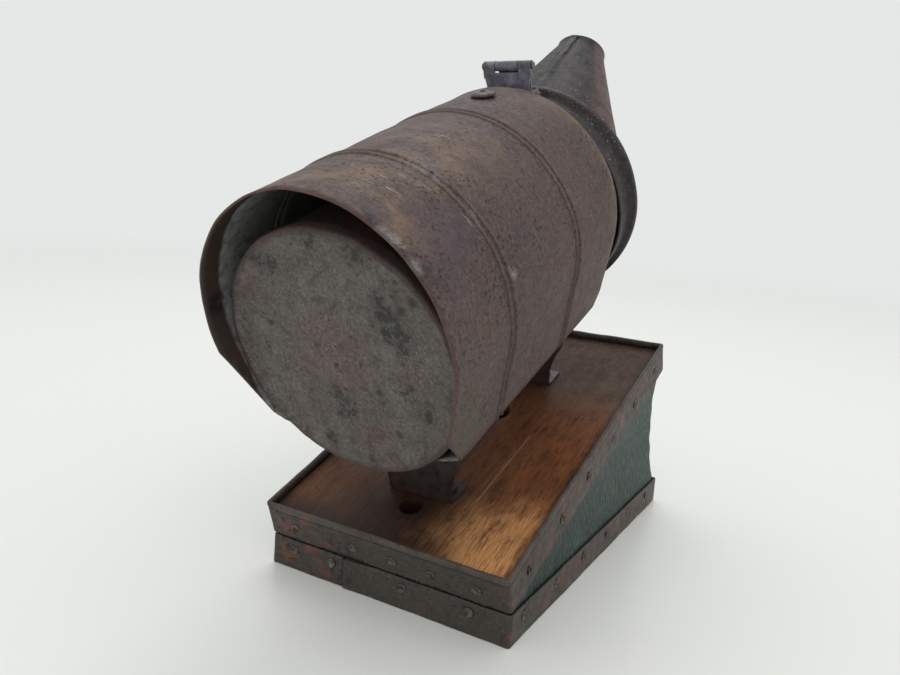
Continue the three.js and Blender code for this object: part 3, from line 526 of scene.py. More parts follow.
def woodPaint(name, local, sooted):
    # Varnished softwood, grain along the board's length
    p = paintMaker(name, local)
    wavy = p.noise(30, 2, 0.5)
    fibre = p.noise(0.9, 6, 0.74, 0.0, p.stretch((1, 0.03, 1)))
    rings = p.noise(6, 4, 0.6, 0.5, p.stretch((1, 0.06, 1), None, (0, 40, 0)))
    base = p.ramp(rings, [(0.3, (108, 66, 40)), (0.5, (146, 92, 54)), (0.68, (182, 122, 70))])
    lines = p.ramp(fibre, [(0.3, (66, 42, 29)), (0.52, (140, 90, 54)), (0.74, (198, 138, 84))])
    colour = p.mix(0.55, base, lines)
    if sooted:
        v = p.axis(1)
        colour = p.mix(0.35, colour, srgb(84, 52, 34))
        # worn bright near the right-hand corner
        broken = p.rise(p.noise(5, 6, 0.72, 0.3, p.stretch((1, 0.3, 1))), 0.3, 0.48)
        bare = [((38, 15, 13), 9, 27, 1), ((48, 8, 13), 6, 16, 1), ((52, 34, 13), 2, 22, 0.9)]
        worn = p.marks(bare, broken)
        bright = p.ramp(fibre, [(0.3, (196, 124, 68)), (0.6, (250, 188, 126))])
        colour = p.mix(p.times(worn, 0.92), colour, bright)
        # red-orange stretch along the right-hand edge
        warm = p.spot((48, 92, 13), 4, 36, None, (1.6, 0.45, 1))
        warm = p.times(warm, p.mottle(6, 0.36, 0.6, (0, 4, 0), (1, 0.2, 1)))
        colour = p.over(colour, warm, 0.5, (172, 98, 48))
        # painted shadow of the pot and near bracket round the air hole, and darker along the closed end
        wander = p.times(p.math("SUBTRACT", p.noise(9, 5, 0.65), 0.5), 26)
        holeShadow = p.spot((-4, 24, 13), 8, 30, p.stretch((1, 1, 0)), (0.68, 1, 1))
        holeShadow = p.times(holeShadow, p.ramp(p.noise(6, 5, 0.65), [(0.25, 0.75), (0.5, 1.0)]))
        colour = p.over(colour, holeShadow, 0.94, (32, 25, 26))
        strayed = p.math("ADD", v, wander)
        endDark = p.fall(strayed, 5, 20)
        endDark = p.times(endDark, p.fall(p.axis(0), 20, 44))
        colour = p.over(colour, endDark, 0.8, (42, 32, 31))
        # brown soot on the left, grey-brown at the far end
        left = p.times(p.fall(p.axis(0), -44, -6), p.mottle(8, 0.36, 0.62, (5, 5, 0), (1, 0.4, 1)))
        colour = p.over(colour, left, 0.5, (74, 52, 40))
        far = p.band(strayed, 108, 150)
        farTone = p.ramp(p.noise(4.5, 7, 0.72, 0.3), [(0.36, (22, 18, 17)), (0.46, (62, 51, 45)),
                                                      (0.6, (88, 73, 61)), (0.72, (118, 98, 80))])
        colour = p.mix(p.times(far, 0.78), colour, farTone)
        # reddish-brown blotches over the middle
        blotch = p.mottle(7, 0.5, 0.62, (17, 3, 0), (1, 0.55, 1), 6, 0.6)
        blotch = p.times(blotch, p.times(p.fall(v, 118, 140), p.band(v, 22, 40)))
        colour = p.over(colour, blotch, 0.42, (80, 42, 28))
        rimChar = p.uneven(p.math("ABSOLUTE", p.axis(0)), p.noise(7, 5, 0.65), 6)
        colour = p.over(colour, p.band(rimChar, 57, 62), 0.6, (44, 30, 25))
        # one long scratch
        line = p.distance(p.axis(0), p.uneven(24.4, v, 0.02))
        along = p.times(p.fall(line, 0.1, 0.5), p.fall(p.distance(v, 66), 22, 30))
        colour = p.over(colour, along, 0.6, (186, 150, 112))
    pores = p.mottle(0.7, 0.52, 0.66, (9, 9, 9), (1, 0.06, 1), 3)
    colour = p.over(colour, pores, 0.62, (40, 26, 20))
    stains = p.mottle(3.6, 0.6, 0.7, (3, 0, 0), (1, 0.6, 1), 5, 0.2)
    colour = p.over(colour, stains, 0.5, (44, 30, 23))
    rough = p.ramp(p.noise(9, 3), [(0.3, 0.5), (0.7, 0.66)])
    p.relief(fibre, 0.14, 0.8)
    p.relief(wavy, 0.25, 0.5)
    return p.finish(colour, rough, 0.0, 0.2)


bands = {
    "width": 122.0,
    "length": 196.0,
    "corner": 1.6,
    "sheet": 0.8,
    "lowerTop": 13.9,        # heights in each board's own frame
    "upperLow": 0.5,
    "upperTop": 17.3,
    "hem": 2.8,
    "hemWidth": 2.0,
    "step": 1.25,            # between points round the board
    "waves": 0.28,
    "ragged": 0.28,          # how far the edges stray up and down
    "dimple": 0.65,          # how deep each tack pulls the tin in
    "dimpleSize": 2.6,
    "lap": (-20.0, -5.0, 1.0),    # start, end and rise of the lower band's lap
}


def tinPaint(name, local, hemmed):
    # Patinated tinplate: dark grey-brown with olive and rust patches
    p = paintMaker(name, local)
    base = p.ramp(p.noise(12, 5, 0.66), [(0.32, (48, 44, 41)), (0.5, (68, 61, 56)), (0.7, (84, 72, 62))])
    green = p.mottle(20, 0.5, 0.68, (33, 0, 0), detail=3)
    colour = p.over(base, green, 0.4, (66, 72, 62))
    fine = p.ramp(p.noise(1.5, 6, 0.75),
                  [(0.28, (28, 25, 24)), (0.5, (66, 59, 54)), (0.72, (116, 104, 92))])
    colour = p.mix(0.5, colour, fine)
    rust = p.mottle(8, 0.5, 0.64, (90, 7, 7), (1, 1, 1), 6, 0.4)
    x, v, height = p.axis(0), p.axis(1), p.axis(2)
    leftFront = p.times(p.fall(x, -30, 4), p.fall(v, 2, 12))
    sides = p.band(p.math("ABSOLUTE", x), 59, 60.5)
    where = p.math("MAXIMUM", leftFront, p.times(sides, 0.75))
    rust = p.times(rust, where)
    colour = p.over(colour, rust, 0.85, (118, 70, 42))
    scab = p.mottle(3.0, 0.54, 0.63, detail=6, bend=0.3)
    spread = p.times(p.mottle(22, 0.5, 0.66, detail=2), 0.9)
    around = p.math("MAXIMUM", p.marks([((-23, 0, 8), 5, 12, 1), ((-52, 0, 9), 6, 12, 1)]), spread)
    scab = p.times(scab, around)
    colour = p.over(colour, scab, 0.85, (32, 25, 24))
    wear = p.mottle(1.0, 0.66, 0.73, (0, 0, 0), (0.4, 0.4, 1), 3)
    colour = p.over(colour, wear, 0.5, (150, 142, 130))
    if hemmed:
        hem = p.times(p.band(height, 14.3, 14.9), p.mottle(7, 0.34, 0.56, (2, 2, 2)))
        colour = p.over(colour, hem, 0.4, (112, 100, 88))
        groove = p.fall(p.distance(height, 14.2), 0.15, 0.5)
        colour = p.over(colour, groove, 0.7, (26, 21, 20))
    else:
        # a dark line beside the lap's edge: painted shadow of the overlapping sheet
        joint = p.distance(x, bands["lap"][0] - 0.3)
        lapShadow = p.times(p.fall(joint, 0.5, 1.2), p.fall(v, 1, 3))
        colour = p.over(colour, lapShadow, 0.85, (20, 16, 16))
    rough = p.ramp(p.noise(5, 4, 0.6), [(0.3, 0.42), (0.7, 0.62)])
    p.relief(p.noise(1.5, 5, 0.66), 0.2, 0.9)
    p.relief(scab, 0.3, 0.8)
    return p.finish(colour, rough, 0.0, 0.4)


def leatherPaint():
    # Green leathercloth, pebbled, the pebbles drawn out up and down
    p = paintMaker("green leathercloth", backFrame)
    drawn = p.stretch((1, 1, 0.42))
    pebble = p.cells(1.3, drawn)
    fine = p.noise(0.7, 3, 0.6, 0.0, drawn)
    base = p.ramp(p.noise(20, 4), [(0.35, (36, 62, 55)), (0.65, (56, 84, 75))])
    valley = p.rise(pebble, 0.22, 0.66)
    colour = p.over(base, valley, 0.75, (20, 34, 32))
    crest = p.mottle(1.3, 0.5, 0.66, (4, 4, 4), (1, 1, 0.35), 4, 0.3)
    colour = p.over(colour, crest, 0.5, (100, 132, 120))
    grime = p.mottle(12, 0.48, 0.72)
    colour = p.over(colour, grime, 0.4, (52, 50, 43))
    scuffs = p.mottle(2.4, 0.64, 0.72, (14, 4, 4), (1, 1, 0.3), 5)
    colour = p.over(colour, scuffs, 0.3, (136, 148, 138))
    p.relief(pebble, -0.4, 0.95)
    p.relief(fine, 0.12, 0.7)
    rough = p.ramp(fine, [(0.3, 0.42), (0.7, 0.62)])
    return p.finish(colour, rough, 0.0, 0.3)


def brownLeatherPaint():
    p = paintMaker("brown leather", frontFrame)
    colour = p.ramp(p.noise(5, 4, 0.6), [(0.3, (62, 44, 32)), (0.7, (98, 70, 48))])
    p.relief(p.cells(1.1), -0.15, 0.7)
    return p.finish(colour, 0.72, 0.0, 0.35)


def ironPaint(name, local, dark, light, tint):
    # Dark iron with brown bloom and lighter rubbed places
    p = paintMaker(name, local)
    colour = p.ramp(p.noise(7, 4, 0.6), [(0.32, dark), (0.68, light)])
    shifted = p.stretch((1, 1, 1), None, (7, 7, 7))
    bloom = p.rise(p.noise(4, 4, 0.6, 0.3, shifted), 0.48, 0.68)
    colour = p.over(colour, bloom, 0.5, tint)
    rub = p.rise(p.noise(1.4, 3), 0.62, 0.72)
    colour = p.over(colour, rub, 0.3, (128, 124, 122))
    rough = p.ramp(p.noise(3, 4, 0.6), [(0.3, 0.3), (0.7, 0.55)])
    p.relief(p.noise(1.3, 4, 0.6), 0.12, 0.8)
    return p.finish(colour, rough, 0.0, 0.55)


def tackPaint(name, local):
    # Flat nail heads, mottled dark and light
    p = paintMaker(name, local)
    colour = p.ramp(p.noise(2.2, 5, 0.66), [(0.38, (46, 40, 37)), (0.66, (132, 122, 112))])
    p.relief(p.noise(0.8, 3), 0.12, 0.7)
    return p.finish(colour, 0.36, 0.5, 0.5)


def steelPaint(name, local):
    p = paintMaker(name, local)
    colour = p.ramp(p.noise(4, 4, 0.6), [(0.3, (92, 88, 84)), (0.7, (136, 130, 122))])
    rust = p.rise(p.noise(3, 4, 0.6), 0.55, 0.7)
    colour = p.over(colour, rust, 0.5, (104, 72, 52))
    p.relief(p.noise(0.8, 3), 0.06, 0.6)
    return p.finish(colour, 0.42, 0.5, 0.5)


paints = {
    "shield": shieldPaint(),
    "shieldInside": shieldInsidePaint(),
    "pot": potPaint(),
    "base": basePaint(),
    "collar": lidPaint("lid collar", False),
    "cone": lidPaint("lid cone", True),
    "frontWood": woodPaint("varnished front board", frontFrame, True),
    "backWood": woodPaint("back board wood", backFrame, False),
    "lowerTin": tinPaint("lower edge tin", backFrame, False),
    "upperTin": tinPaint("upper edge tin", frontFrame, True),
    "leather": leatherPaint(),
    "flapLeather": brownLeatherPaint(),
    "iron": ironPaint("bracket iron", frontFrame, (40, 33, 32), (70, 60, 57), (84, 58, 50)),
    "tar": ironPaint("tarred hinge", potFrame, (44, 41, 48), (150, 146, 166), (62, 50, 50)),
    "tackBack": tackPaint("lower tacks", backFrame),
    "tackFront": tackPaint("upper tacks", frontFrame),
    "springSteel": steelPaint("spring wire", backFrame),
    "pinSteel": steelPaint("pin steel", potFrame),
    "grate": ironPaint("grate iron", potFrame, (50, 42, 40), (84, 72, 66), (96, 66, 52)),
}
print("materials made")


# Mesh helpers

def makePiece(name, points, faces, local, body, materials, sharp=38):
    mesh = bpy.data.meshes.new(name)
    mesh.from_pydata([local @ Vector(point) for point in points], [], faces)
    work = bmesh.new()
    work.from_mesh(mesh)
    bmesh.ops.remove_doubles(work, verts=work.verts, dist=0.00001)
    bmesh.ops.recalc_face_normals(work, faces=work.faces)
    work.to_mesh(mesh)
    work.free()
    for face in mesh.polygons:
        face.use_smooth = True
    mesh.set_sharp_from_angle(angle=math.radians(sharp))
    for key in materials:
        mesh.materials.append(paints[key])
    piece = bpy.data.objects.new(name, mesh)
    scene.collection.objects.link(piece)
    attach(piece, body)
    return piece


def gridFaces(rows, columns, closeRows=False, closeColumns=False, first=0):
    # Faces between rows of points; closing joins the last row or column to the first
    faces = []
    for i in range(rows if closeRows else rows - 1):
        for j in range(columns if closeColumns else columns - 1):
            a = i * columns + j
            b = i * columns + (j + 1) % columns
            c = ((i + 1) % rows) * columns + (j + 1) % columns
            d = ((i + 1) % rows) * columns + j
            faces.append((first + a, first + b, first + c, first + d))
    return faces


def rough(point, size, seed=0.0):
    # Smooth unevenness from -1 to 1 at a place in mm
    return noise.noise(Vector(point) / size + Vector((seed, seed * 1.7, -seed)))


def steps(start, end, count):
    return [start + (end - start) * i / (count - 1) for i in range(count)]


def perimeter(width, length, corner, step, bendSteps=5):
    # Round a board's edge: (x, y, outward x, outward y), the near edge at y = 0
    x, y = width / 2 - corner, length
    runs = [
        ((-x, 0), (x, 0), (0, -1)),
        ((x + corner, corner), (x + corner, y - corner), (1, 0)),
        ((x, y), (-x, y), (0, 1)),
        ((-x - corner, y - corner), (-x - corner, corner), (-1, 0)),
    ]
    bends = [(x, corner, -90), (x, y - corner, 0), (-x, y - corner, 90), (-x, corner, 180)]
    path = []
    for (start, end, out), (cx, cy, turn) in zip(runs, bends):
        count = max(2, round(math.dist(start, end) / step))
        for i in range(count):
            place = Vector(start).lerp(Vector(end), i / count)
            path.append((place.x, place.y, *out))
        for i in range(bendSteps):
            angle = math.radians(turn + 90 * i / bendSteps)
            out = (math.cos(angle), math.sin(angle))
            path.append((cx + corner * out[0], cy + corner * out[1], *out))
    return path


dressing = {
    "merge": 0.00001,        # metres
    "flat": 1.0,             # degrees under which faces are joined
    "edge": 30.0,            # degrees over which an edge is softened
}


def dress(nodeName, paintKey, bevel):
    # A CAD node keeps its shape and gets a finish, merged points and softened edges
    node = frame["nodes"][nodeName]
    node.data.materials.clear()
    node.data.materials.append(paints[paintKey])
    for face in node.data.polygons:
        face.use_smooth = True
    bpy.context.view_layer.objects.active = node
    node.select_set(True)
    bpy.ops.mesh.customdata_custom_splitnormals_clear()
    node.select_set(False)
    weld = node.modifiers.new("merge points", "WELD")
    weld.merge_threshold = dressing["merge"]
    plain = node.modifiers.new("plain faces", "DECIMATE")
    plain.decimate_type = "DISSOLVE"
    plain.angle_limit = math.radians(dressing["flat"])
    soften = node.modifiers.new("soften edges", "BEVEL")
    soften.width = bevel * mm
    soften.segments = 2
    soften.limit_method = "ANGLE"
    soften.angle_limit = math.radians(dressing["edge"])
    soften.harden_normals = True


# Heat shield

def shieldOutline():
    # (x, w, outward x, outward w, degrees) from the left foot over the top to the right foot
    path = []
    end = math.radians(shield["arcEnd"])
    arcX = shield["radius"] * math.sin(end)
    arcW = shield["centreW"] + shield["radius"] * math.cos(end)
    straight = 14
    for i in range(straight):
        t = i / straight
        x = -shield["lowX"] + (shield["lowX"] - arcX) * t
        w = shield["lowW"] + (arcW - shield["lowW"]) * t
        path.append((x, w, -math.sin(end), math.cos(end), -shield["arcEnd"]))
    for angle in steps(-end, end, 169):
        out = (math.sin(angle), math.cos(angle))
        x = shield["radius"] * out[0]
        path.append((x, shield["centreW"] + shield["radius"] * out[1], *out, math.degrees(angle)))
    mirrored = [(-x, w, -ox, ow, -turn) for x, w, ox, ow, turn in path[:straight]]
    return path + mirrored[::-1]


def makeShield():
    beadLines = [bead + step for bead in shield["beads"] for step in (-1.1, -0.6, -0.25, 0, 0.25, 0.6, 1.1)]
    lines = sorted({round(v, 2) for v in steps(shield["start"], shield["end"], 62) + beadLines})
    outline = shieldOutline()
    points = []
    for x, w, outX, outW, turn in outline:
        over = w - shield["lowW"]
        rise = shield["nearCut"][1] if x < 0 else shield["nearCut"][2]
        nearV = shield["start"] + shield["nearCut"][0] * max(0, 1 - over / rise)
        farV = shield["end"] - shield["farCut"][0] * max(0, 1 - over / shield["farCut"][1])
        lumpTurn, lumpWidth, lumpReach = shield["lump"]
        lump = lumpReach * math.exp(-(((turn - lumpTurn) / lumpWidth) ** 2))
        for line in lines:
            v = min(max(line, nearV), farV)
            bead = max(math.exp(-(((v - b) / shield["beadWidth"]) ** 2)) for b in shield["beads"])
            dent = shield["dents"] * rough((x, v, w), 26) + 0.12 * rough((x, v, w), 7, 3)
            edge = math.exp(-(v - shield["start"]) / 7)
            dent += 0.5 * edge * rough((x, 0, w), 15, 5)
            if v > shield["end"] - 2:
                v += lump
                dent += 0.25 * lump
            out = shield["beadHeight"] * bead + dent - 0.3
            points.append((x + outX * out, v, w + outW * out))
    faces = gridFaces(len(outline), len(lines))
    # tabs bent in under the pot
    for side in (-1, 1):
        first = len(points)
        bend = [(shield["lowX"] - 0.4, 2.4), (shield["lowX"] - 0.5, 0.6), (shield["lowX"] - 1.4, -0.5),
                (shield["lowX"] - 3.4, -1.1), (39.5, -2.0), (shield["tabX"], -3.2)]
        along = steps(shield["tab"][0], shield["tab"][1], 8)
        for x, drop in bend:
            for v in along:
                wave = 0.35 * rough((side * x, v, 0), 6, 9)
                points.append((side * x, v, shield["lowW"] + drop + wave))
        faces += gridFaces(len(bend), len(along), first=first)
    piece = makePiece("bent_heat_shield", points, faces, frontFrame, "front",
                      ["shield", "shieldInside"], 60)
    for face in piece.data.polygons:
        centre = frontFrame.inverted() @ face.center
        middle = Vector((0, centre.y, shield["centreW"]))
        if face.normal.dot(frontFrame.to_3x3().normalized() @ (centre - middle)) < 0:
            face.flip()
    thick = piece.modifiers.new("sheet", "SOLIDIFY")
    thick.thickness = shield["sheet"] * mm
    thick.offset = -1.0
    thick.material_offset = 1
    thick.material_offset_rim = 0
    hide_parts("heat_shield")


makeShield()
print("heat shield made")


# Fire pot, grate, lid and hinge

pot = {
    "radius": 49.9,
    "rim": 51.0,             # the base's rim, folded over the wall
    "baseRim": 5.0,          # how far the rim reaches along the pot
    "baseBow": 0.5,
}

lid = {
    "collarStart": 153.0,
    "collarRadius": 51.7,
    "hemStart": 166.0,
    "hemRadius": 54.7,
    "collarEnd": 170.4,
    "coneBase": 48.5,
    "flange": 50.7,
    "tipY": 241.0,
    "tipZ": 54.5,
    "tipRadius": 12.2,
    "tipTilt": 37.2,         # degrees
    "roll": 1.0,
    "seamRise": 0.9,
    "wall": 0.8,
}


def turned(profile, sides, unevenness, size, seed):
    # Points of a profile of (radius, y) turned about the pot's axis, slightly out of true
    points = []
    for i in range(sides):
        angle = 2 * math.pi * i / sides
        for radius, y in profile:
            x, z = radius * math.sin(angle), radius * math.cos(angle)
            out = radius + unevenness * rough((x, y, z), size, seed)
            points.append((out * math.sin(angle), y, out * math.cos(angle)))
    return points


def makeBase():
    # A disc, slightly bowed and knocked about, with its rim folded over the pot's end
    sides = 160
    rim, end = pot["rim"], pot["baseRim"]
    rings = steps(0.0, rim - 3.2, 34)
    lip = [(rim - 2.7, -0.15), (rim - 2.1, -0.5), (rim - 1.2, -0.62), (rim - 0.4, -0.35), (rim, 0.2),
           (rim + 0.05, 1.4), (rim, 3.0), (rim - 0.1, end), (rim - 0.7, end),
           (pot["radius"] + 0.35, 3.0), (pot["radius"] + 0.3, 1.1)]
    profile = [(max(radius, 0.05), 0.0) for radius in rings] + lip
    points = []
    for i in range(sides):
        angle = 2 * math.pi * i / sides
        for radius, y in profile:
            flat = radius < rim - 3
            x, z = radius * math.sin(angle), radius * math.cos(angle)
            bow = pot["baseBow"] * (radius / rim) ** 2 if flat else 0
            knock = 0.32 * rough((x, 0, z), 16, 2) + 0.1 * rough((x, 0, z), 4, 8)
            crimp = 0.28 * rough((x, 0, z), 5, 4) if 0.2 > y > -0.7 and not flat else 0
            out = radius + (0.3 * rough((x, 0, z), 12, 6) if not flat and y < 4 else 0)
            along = y - 0.25 + bow * 0.6 + (knock if flat else crimp)
            points.append((out * math.sin(angle), along, out * math.cos(angle)))
    piece = makePiece("crimped_pot_base", points, gridFaces(sides, len(profile), closeRows=True), potFrame,
                      "front", ["base"], 50)
    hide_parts("fire_pot_base")


def makeCollar():
    wall, end = lid["wall"], lid["collarEnd"]
    start, hem = lid["collarStart"], lid["hemStart"]
    body, big = lid["collarRadius"], lid["hemRadius"]
    profile = [(body - wall, start), (body, start), (body, start + 3), (body, start + 6), (body, start + 9),
               (body, hem - 1.2), (body + 0.5, hem - 0.5), (big - 0.9, hem - 0.1), (big - 0.2, hem + 0.5),
               (big, hem + 1.4), (big, end - 1.2), (big - 0.3, end - 0.4), (big - 1.0, end),
               (body, end + 0.1), (lid["coneBase"] - 1, end), (lid["coneBase"] - 3, end),
               (lid["coneBase"] - 3, end - wall), (body - wall, end - wall), (body - wall, start + 8)]
    sides = 160
    points = turned(profile, sides, 0.4, 22, 3)
    piece = makePiece("hemmed_lid_collar", points, gridFaces(sides, len(profile), True, True), potFrame,
                      "lid", ["collar"], 48)
    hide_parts("lid_collar")


def conePoint(t, angle, radiusShift=0.0):
    # t from 0 at the flange to 1 at the tilted mouth
    base = lid["collarEnd"] + 0.35
    tilt = math.radians(lid["tipTilt"])
    r0, r1 = lid["coneBase"] + radiusShift, lid["tipRadius"] + radiusShift
    x0, z0 = r0 * math.sin(angle), r0 * math.cos(angle)
    x1, z1 = r1 * math.sin(angle), r1 * math.cos(angle)
    tip = Vector((x1, lid["tipY"] - z1 * math.sin(tilt), lid["tipZ"] + z1 * math.cos(tilt)))
    return Vector((x0, base, z0)).lerp(tip, t)


def makeCone():
    sides, rows = 144, 40
    points = []
    outer = steps(0.0, 1.0, rows)
    tilt = math.radians(lid["tipTilt"])
    for i in range(sides):
        angle = 2 * math.pi * i / sides
        fold = abs(math.atan2(math.sin(angle), math.cos(angle)))
        flange = Vector((lid["flange"] * math.sin(angle), lid["collarEnd"], lid["flange"] * math.cos(angle)))
        column = [flange + Vector((0, 0.35, 0)), flange + Vector((0, 0.9, 0)),
                  conePoint(0, angle, 0.9) + Vector((0, 0.55, 0))]
        for t in outer:
            place = conePoint(t, angle)
            across = place - conePoint(t, angle, -1.0)
            foldWidth = math.radians(2.4) / max(0.25, 1 - 0.75 * t)
            ridge = lid["seamRise"] if fold < foldWidth else 0.0
            flare = 0.8 * max(0, (t - 0.93) / 0.07) ** 2
            out = 0.5 * rough(place, 13, 7) * (1 - 0.4 * t) + ridge + flare
            column.append(place + across.normalized() * out)
        # rolled lip, then back down the inside
        mouth = Vector((math.sin(angle), -math.cos(angle) * math.sin(tilt), math.cos(angle) * math.cos(tilt)))
        along = Vector((0, math.cos(tilt), math.sin(tilt)))
        centre = Vector((0, lid["tipY"], lid["tipZ"]))
        for turn in (-30, 15, 60, 105, 150, 190):
            a = math.radians(turn)
            reach = lid["tipRadius"] + lid["roll"] * math.cos(a)
            column.append(centre + mouth * reach + along * (lid["roll"] * math.sin(a)))
        for t in (0.97, 0.8, 0.5, 0.2, 0.0):
            column.append(conePoint(t, angle, -lid["wall"] - 0.4))
        points += column
    columns = len(points) // sides
    faces = gridFaces(sides, columns, closeRows=True)
    piece = makePiece("nozzle_cone_shell", points, faces, potFrame, "lid", ["cone"], 42)
    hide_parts("nozzle_cone")


makeBase()
makeCollar()
makeCone()
dress("fire_pot_body", "pot", 0.15)
dress("grate", "grate", 0.15)
for name in ("near_bracket", "far_bracket", "near_bracket_rivet", "far_bracket_rivet",
             "bracket_screw_1", "bracket_screw_2", "bracket_screw_3", "bracket_screw_4",
             "shield_bolt", "shield_spacer", "shield_nut", "flap_strip_tack_left", "flap_strip_tack_right"):
    dress(name, "iron", 0.18)
for name in ("hinge_fixed_leaf", "hinge_lid_leaf", "fixed_leaf_rivet_left", "fixed_leaf_rivet_right",
             "lid_leaf_rivet_left", "lid_leaf_rivet_right"):
    dress(name, "tar", 0.2)
dress("hinge_pin", "pinSteel", 0.15)
print("fire pot and lid made")


# Boards, edge bands and tacks

tacks = {
    "radius": 2.15,
    "rim": 0.6,
    "tilt": 0.15,
    "sink": 0.5,             # how deep a head sits in its dimple
    "shift": 4.0,            # how far the hidden sides' rows differ
    "seed": 11,
}


def tackPlaces(prefix, local):
    # Where the CAD tacks sit, as (x, y, height) in mm
    found = []
    for name in sorted(frame["nodes"]):
        if name.startswith(prefix):
            low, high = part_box(name)
            found.append((name, local.inverted() @ ((low + high) / 2)))
    return found


def makeTack(name, local, place, out, tilt, body, paintKey):
    # A flat nail head, dished, with a thick rim; the tilt also varies its size
    radius, rim = tacks["radius"] * (1 + tilt), tacks["rim"]
    profile = [(0.05, 0.12), (0.8, 0.1), (1.3, 0.2), (radius - 0.75, 0.42), (radius - 0.4, rim),
               (radius, rim - 0.15), (radius + 0.05, 0.15), (radius - 0.15, -0.25)]
    sides = 20
    upright = Vector((0, 0, 1))
    sideways = upright.cross(out).normalized()
    points = []
    for i in range(sides):
        angle = 2 * math.pi * i / sides
        for reach, height in profile:
            knocked = reach * (1 + 0.08 * math.sin(2 * angle + tilt * 9))
            across = sideways * (knocked * math.cos(angle)) + upright * (knocked * math.sin(angle))
            lift = height + tilt * math.cos(angle) * reach
            points.append(place + across + out * lift)
    return makePiece(name, points, gridFaces(sides, len(profile), closeRows=True), local, body,
                     [paintKey], 60)


def makeTacks():
    random.seed(tacks["seed"])
    rows = [("lower", backFrame, "back", "tackBack"), ("upper", frontFrame, "front", "tackFront")]
    spots = {"lower": [], "upper": []}
    half, length = bands["width"] / 2, bands["length"]
    for row, local, body, paintKey in rows:
        sides = []
        for kind, out in (("side", Vector((1, 0, 0))), ("end", Vector((0, -1, 0)))):
            for name, centre in tackPlaces(f"{row}_{kind}_tack", local):
                if kind == "side":
                    place = Vector((half, centre.y, centre.z))
                    sides.append((None, Vector((-half, centre.y, centre.z)), Vector((-1, 0, 0))))
                else:
                    place = Vector((centre.x, 0, centre.z))
                    sides.append((None, Vector((-centre.x, length, centre.z)), Vector((0, 1, 0))))
                sides.append((name, place, out))
        for index, (name, place, out) in enumerate(sides):
            jitter = random.uniform(-1, 1)
            tilt = random.uniform(-tacks["tilt"], tacks["tilt"])
            if name is None:
                along = Vector((0, 1, 0)) if out.x else Vector((1, 0, 0))
                place = place + along * (jitter * tacks["shift"])
            seat = place - out * tacks["sink"]
            piece = makeTack(f"{row}_band_tack_{index + 1}", local, seat, out, tilt, body, paintKey)
            if name is not None:
                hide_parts(name)
            spots[row].append((place, out))
    return spots


def bandOut(point, out, spots):
    # How far the tin stands out of true at a point of its outer face
    amount = bands["waves"] * rough(point, 19, 5) + 0.12 * rough(point, 6, 2)
    for place, side in spots:
        if side.x * out[0] + side.y * out[1] > 0.9:
            away = math.dist(point, place)
            amount -= bands["dimple"] * math.exp(-((away / bands["dimpleSize"]) ** 2))
            amount += 0.12 * math.exp(-(((away - 4.2) / 1.2) ** 2))
    return amount


def makeBand(name, node, profile, local, body, paintKey, spots, lap=False):
    # A profile of (inset from the outer face, height) swept round the board
    path = perimeter(bands["width"], bands["length"], bands["corner"], bands["step"])
    points = []
    for x, y, outX, outY in path:
        for inset, height in profile:
            reach = bandOut((x, y, height), (outX, outY), spots) - 0.15
            edge = bands["ragged"] * rough((x, y, 0), 11, 1 if height > 5 else 4)
            lift = edge if height < 1 or height > 13 else 0
            if lap and outY < -0.9:
                start, end, rise = bands["lap"]
                if start <= x <= end and inset < 0.1:
                    reach += rise * (end - x) / (end - start)
            shift = reach * max(0, 1 - inset / 3)
            points.append((x + outX * (shift - inset), y + outY * (shift - inset), height + lift))
    piece = makePiece(name, points, gridFaces(len(path), len(profile), True, True), local, body,
                      [paintKey], 50)
    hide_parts(node)


def makeBands():
    spots = makeTacks()
    sheet, top = bands["sheet"], bands["lowerTop"]
    lower = [(0.0, z) for z in steps(0.35, top - 0.2, 13)]
    lower += [(0.15, top), (sheet - 0.15, top), (sheet, top - 0.2), (sheet, 7.0), (sheet, 0.4), (0.2, 0.2)]
    makeBand("lower_tin_band", "lower_edge_band", lower, backFrame, "back", "lowerTin", spots["lower"], True)
    low, high, hem, wide = bands["upperLow"] + 0.2, bands["upperTop"], bands["hem"], bands["hemWidth"]
    upper = [(0.0, z) for z in steps(low, high - hem - 0.4, 13)]
    upper += [(0.12, high - hem), (-0.12, high - hem + 0.5), (-0.2, high - 1.2), (0.05, high - 0.4),
              (0.5, high - 0.05), (1.1, high), (wide - 0.3, high - 0.25), (wide, high - 0.9),
              (wide, high - hem + 0.4), (wide - 0.3, high - hem), (sheet, high - hem - 0.3), (sheet, 7.0),
              (sheet, low), (0.2, low - 0.15)]
    makeBand("upper_tin_band", "upper_edge_band", upper, frontFrame, "front", "upperTin", spots["upper"])


makeBands()
dress("back_board", "backWood", 0.5)
dress("front_board", "frontWood", 0.5)
print("boards and bands made")


# Leathercloth, spring and intake flap

cover = {
    "inset": 1.45,
    "corner": 2.6,
    "thickness": 0.6,
    "low": 1.5,              # height inside the lower band
    "top": 4.0,              # height inside the upper band, low enough to clear the board when shut
    "bow": 2.8,              # how far the sides draw in where the wedge is tallest
    "crease": 0.8,
    "rows": 40,
    "step": 2.6,
    "keep": math.tan(math.radians(3)) / math.tan(math.radians(20)),
}


def frontPlace(x, v, w):
    return backFrame.inverted() @ (frontFrame @ Vector((x, v, w)))


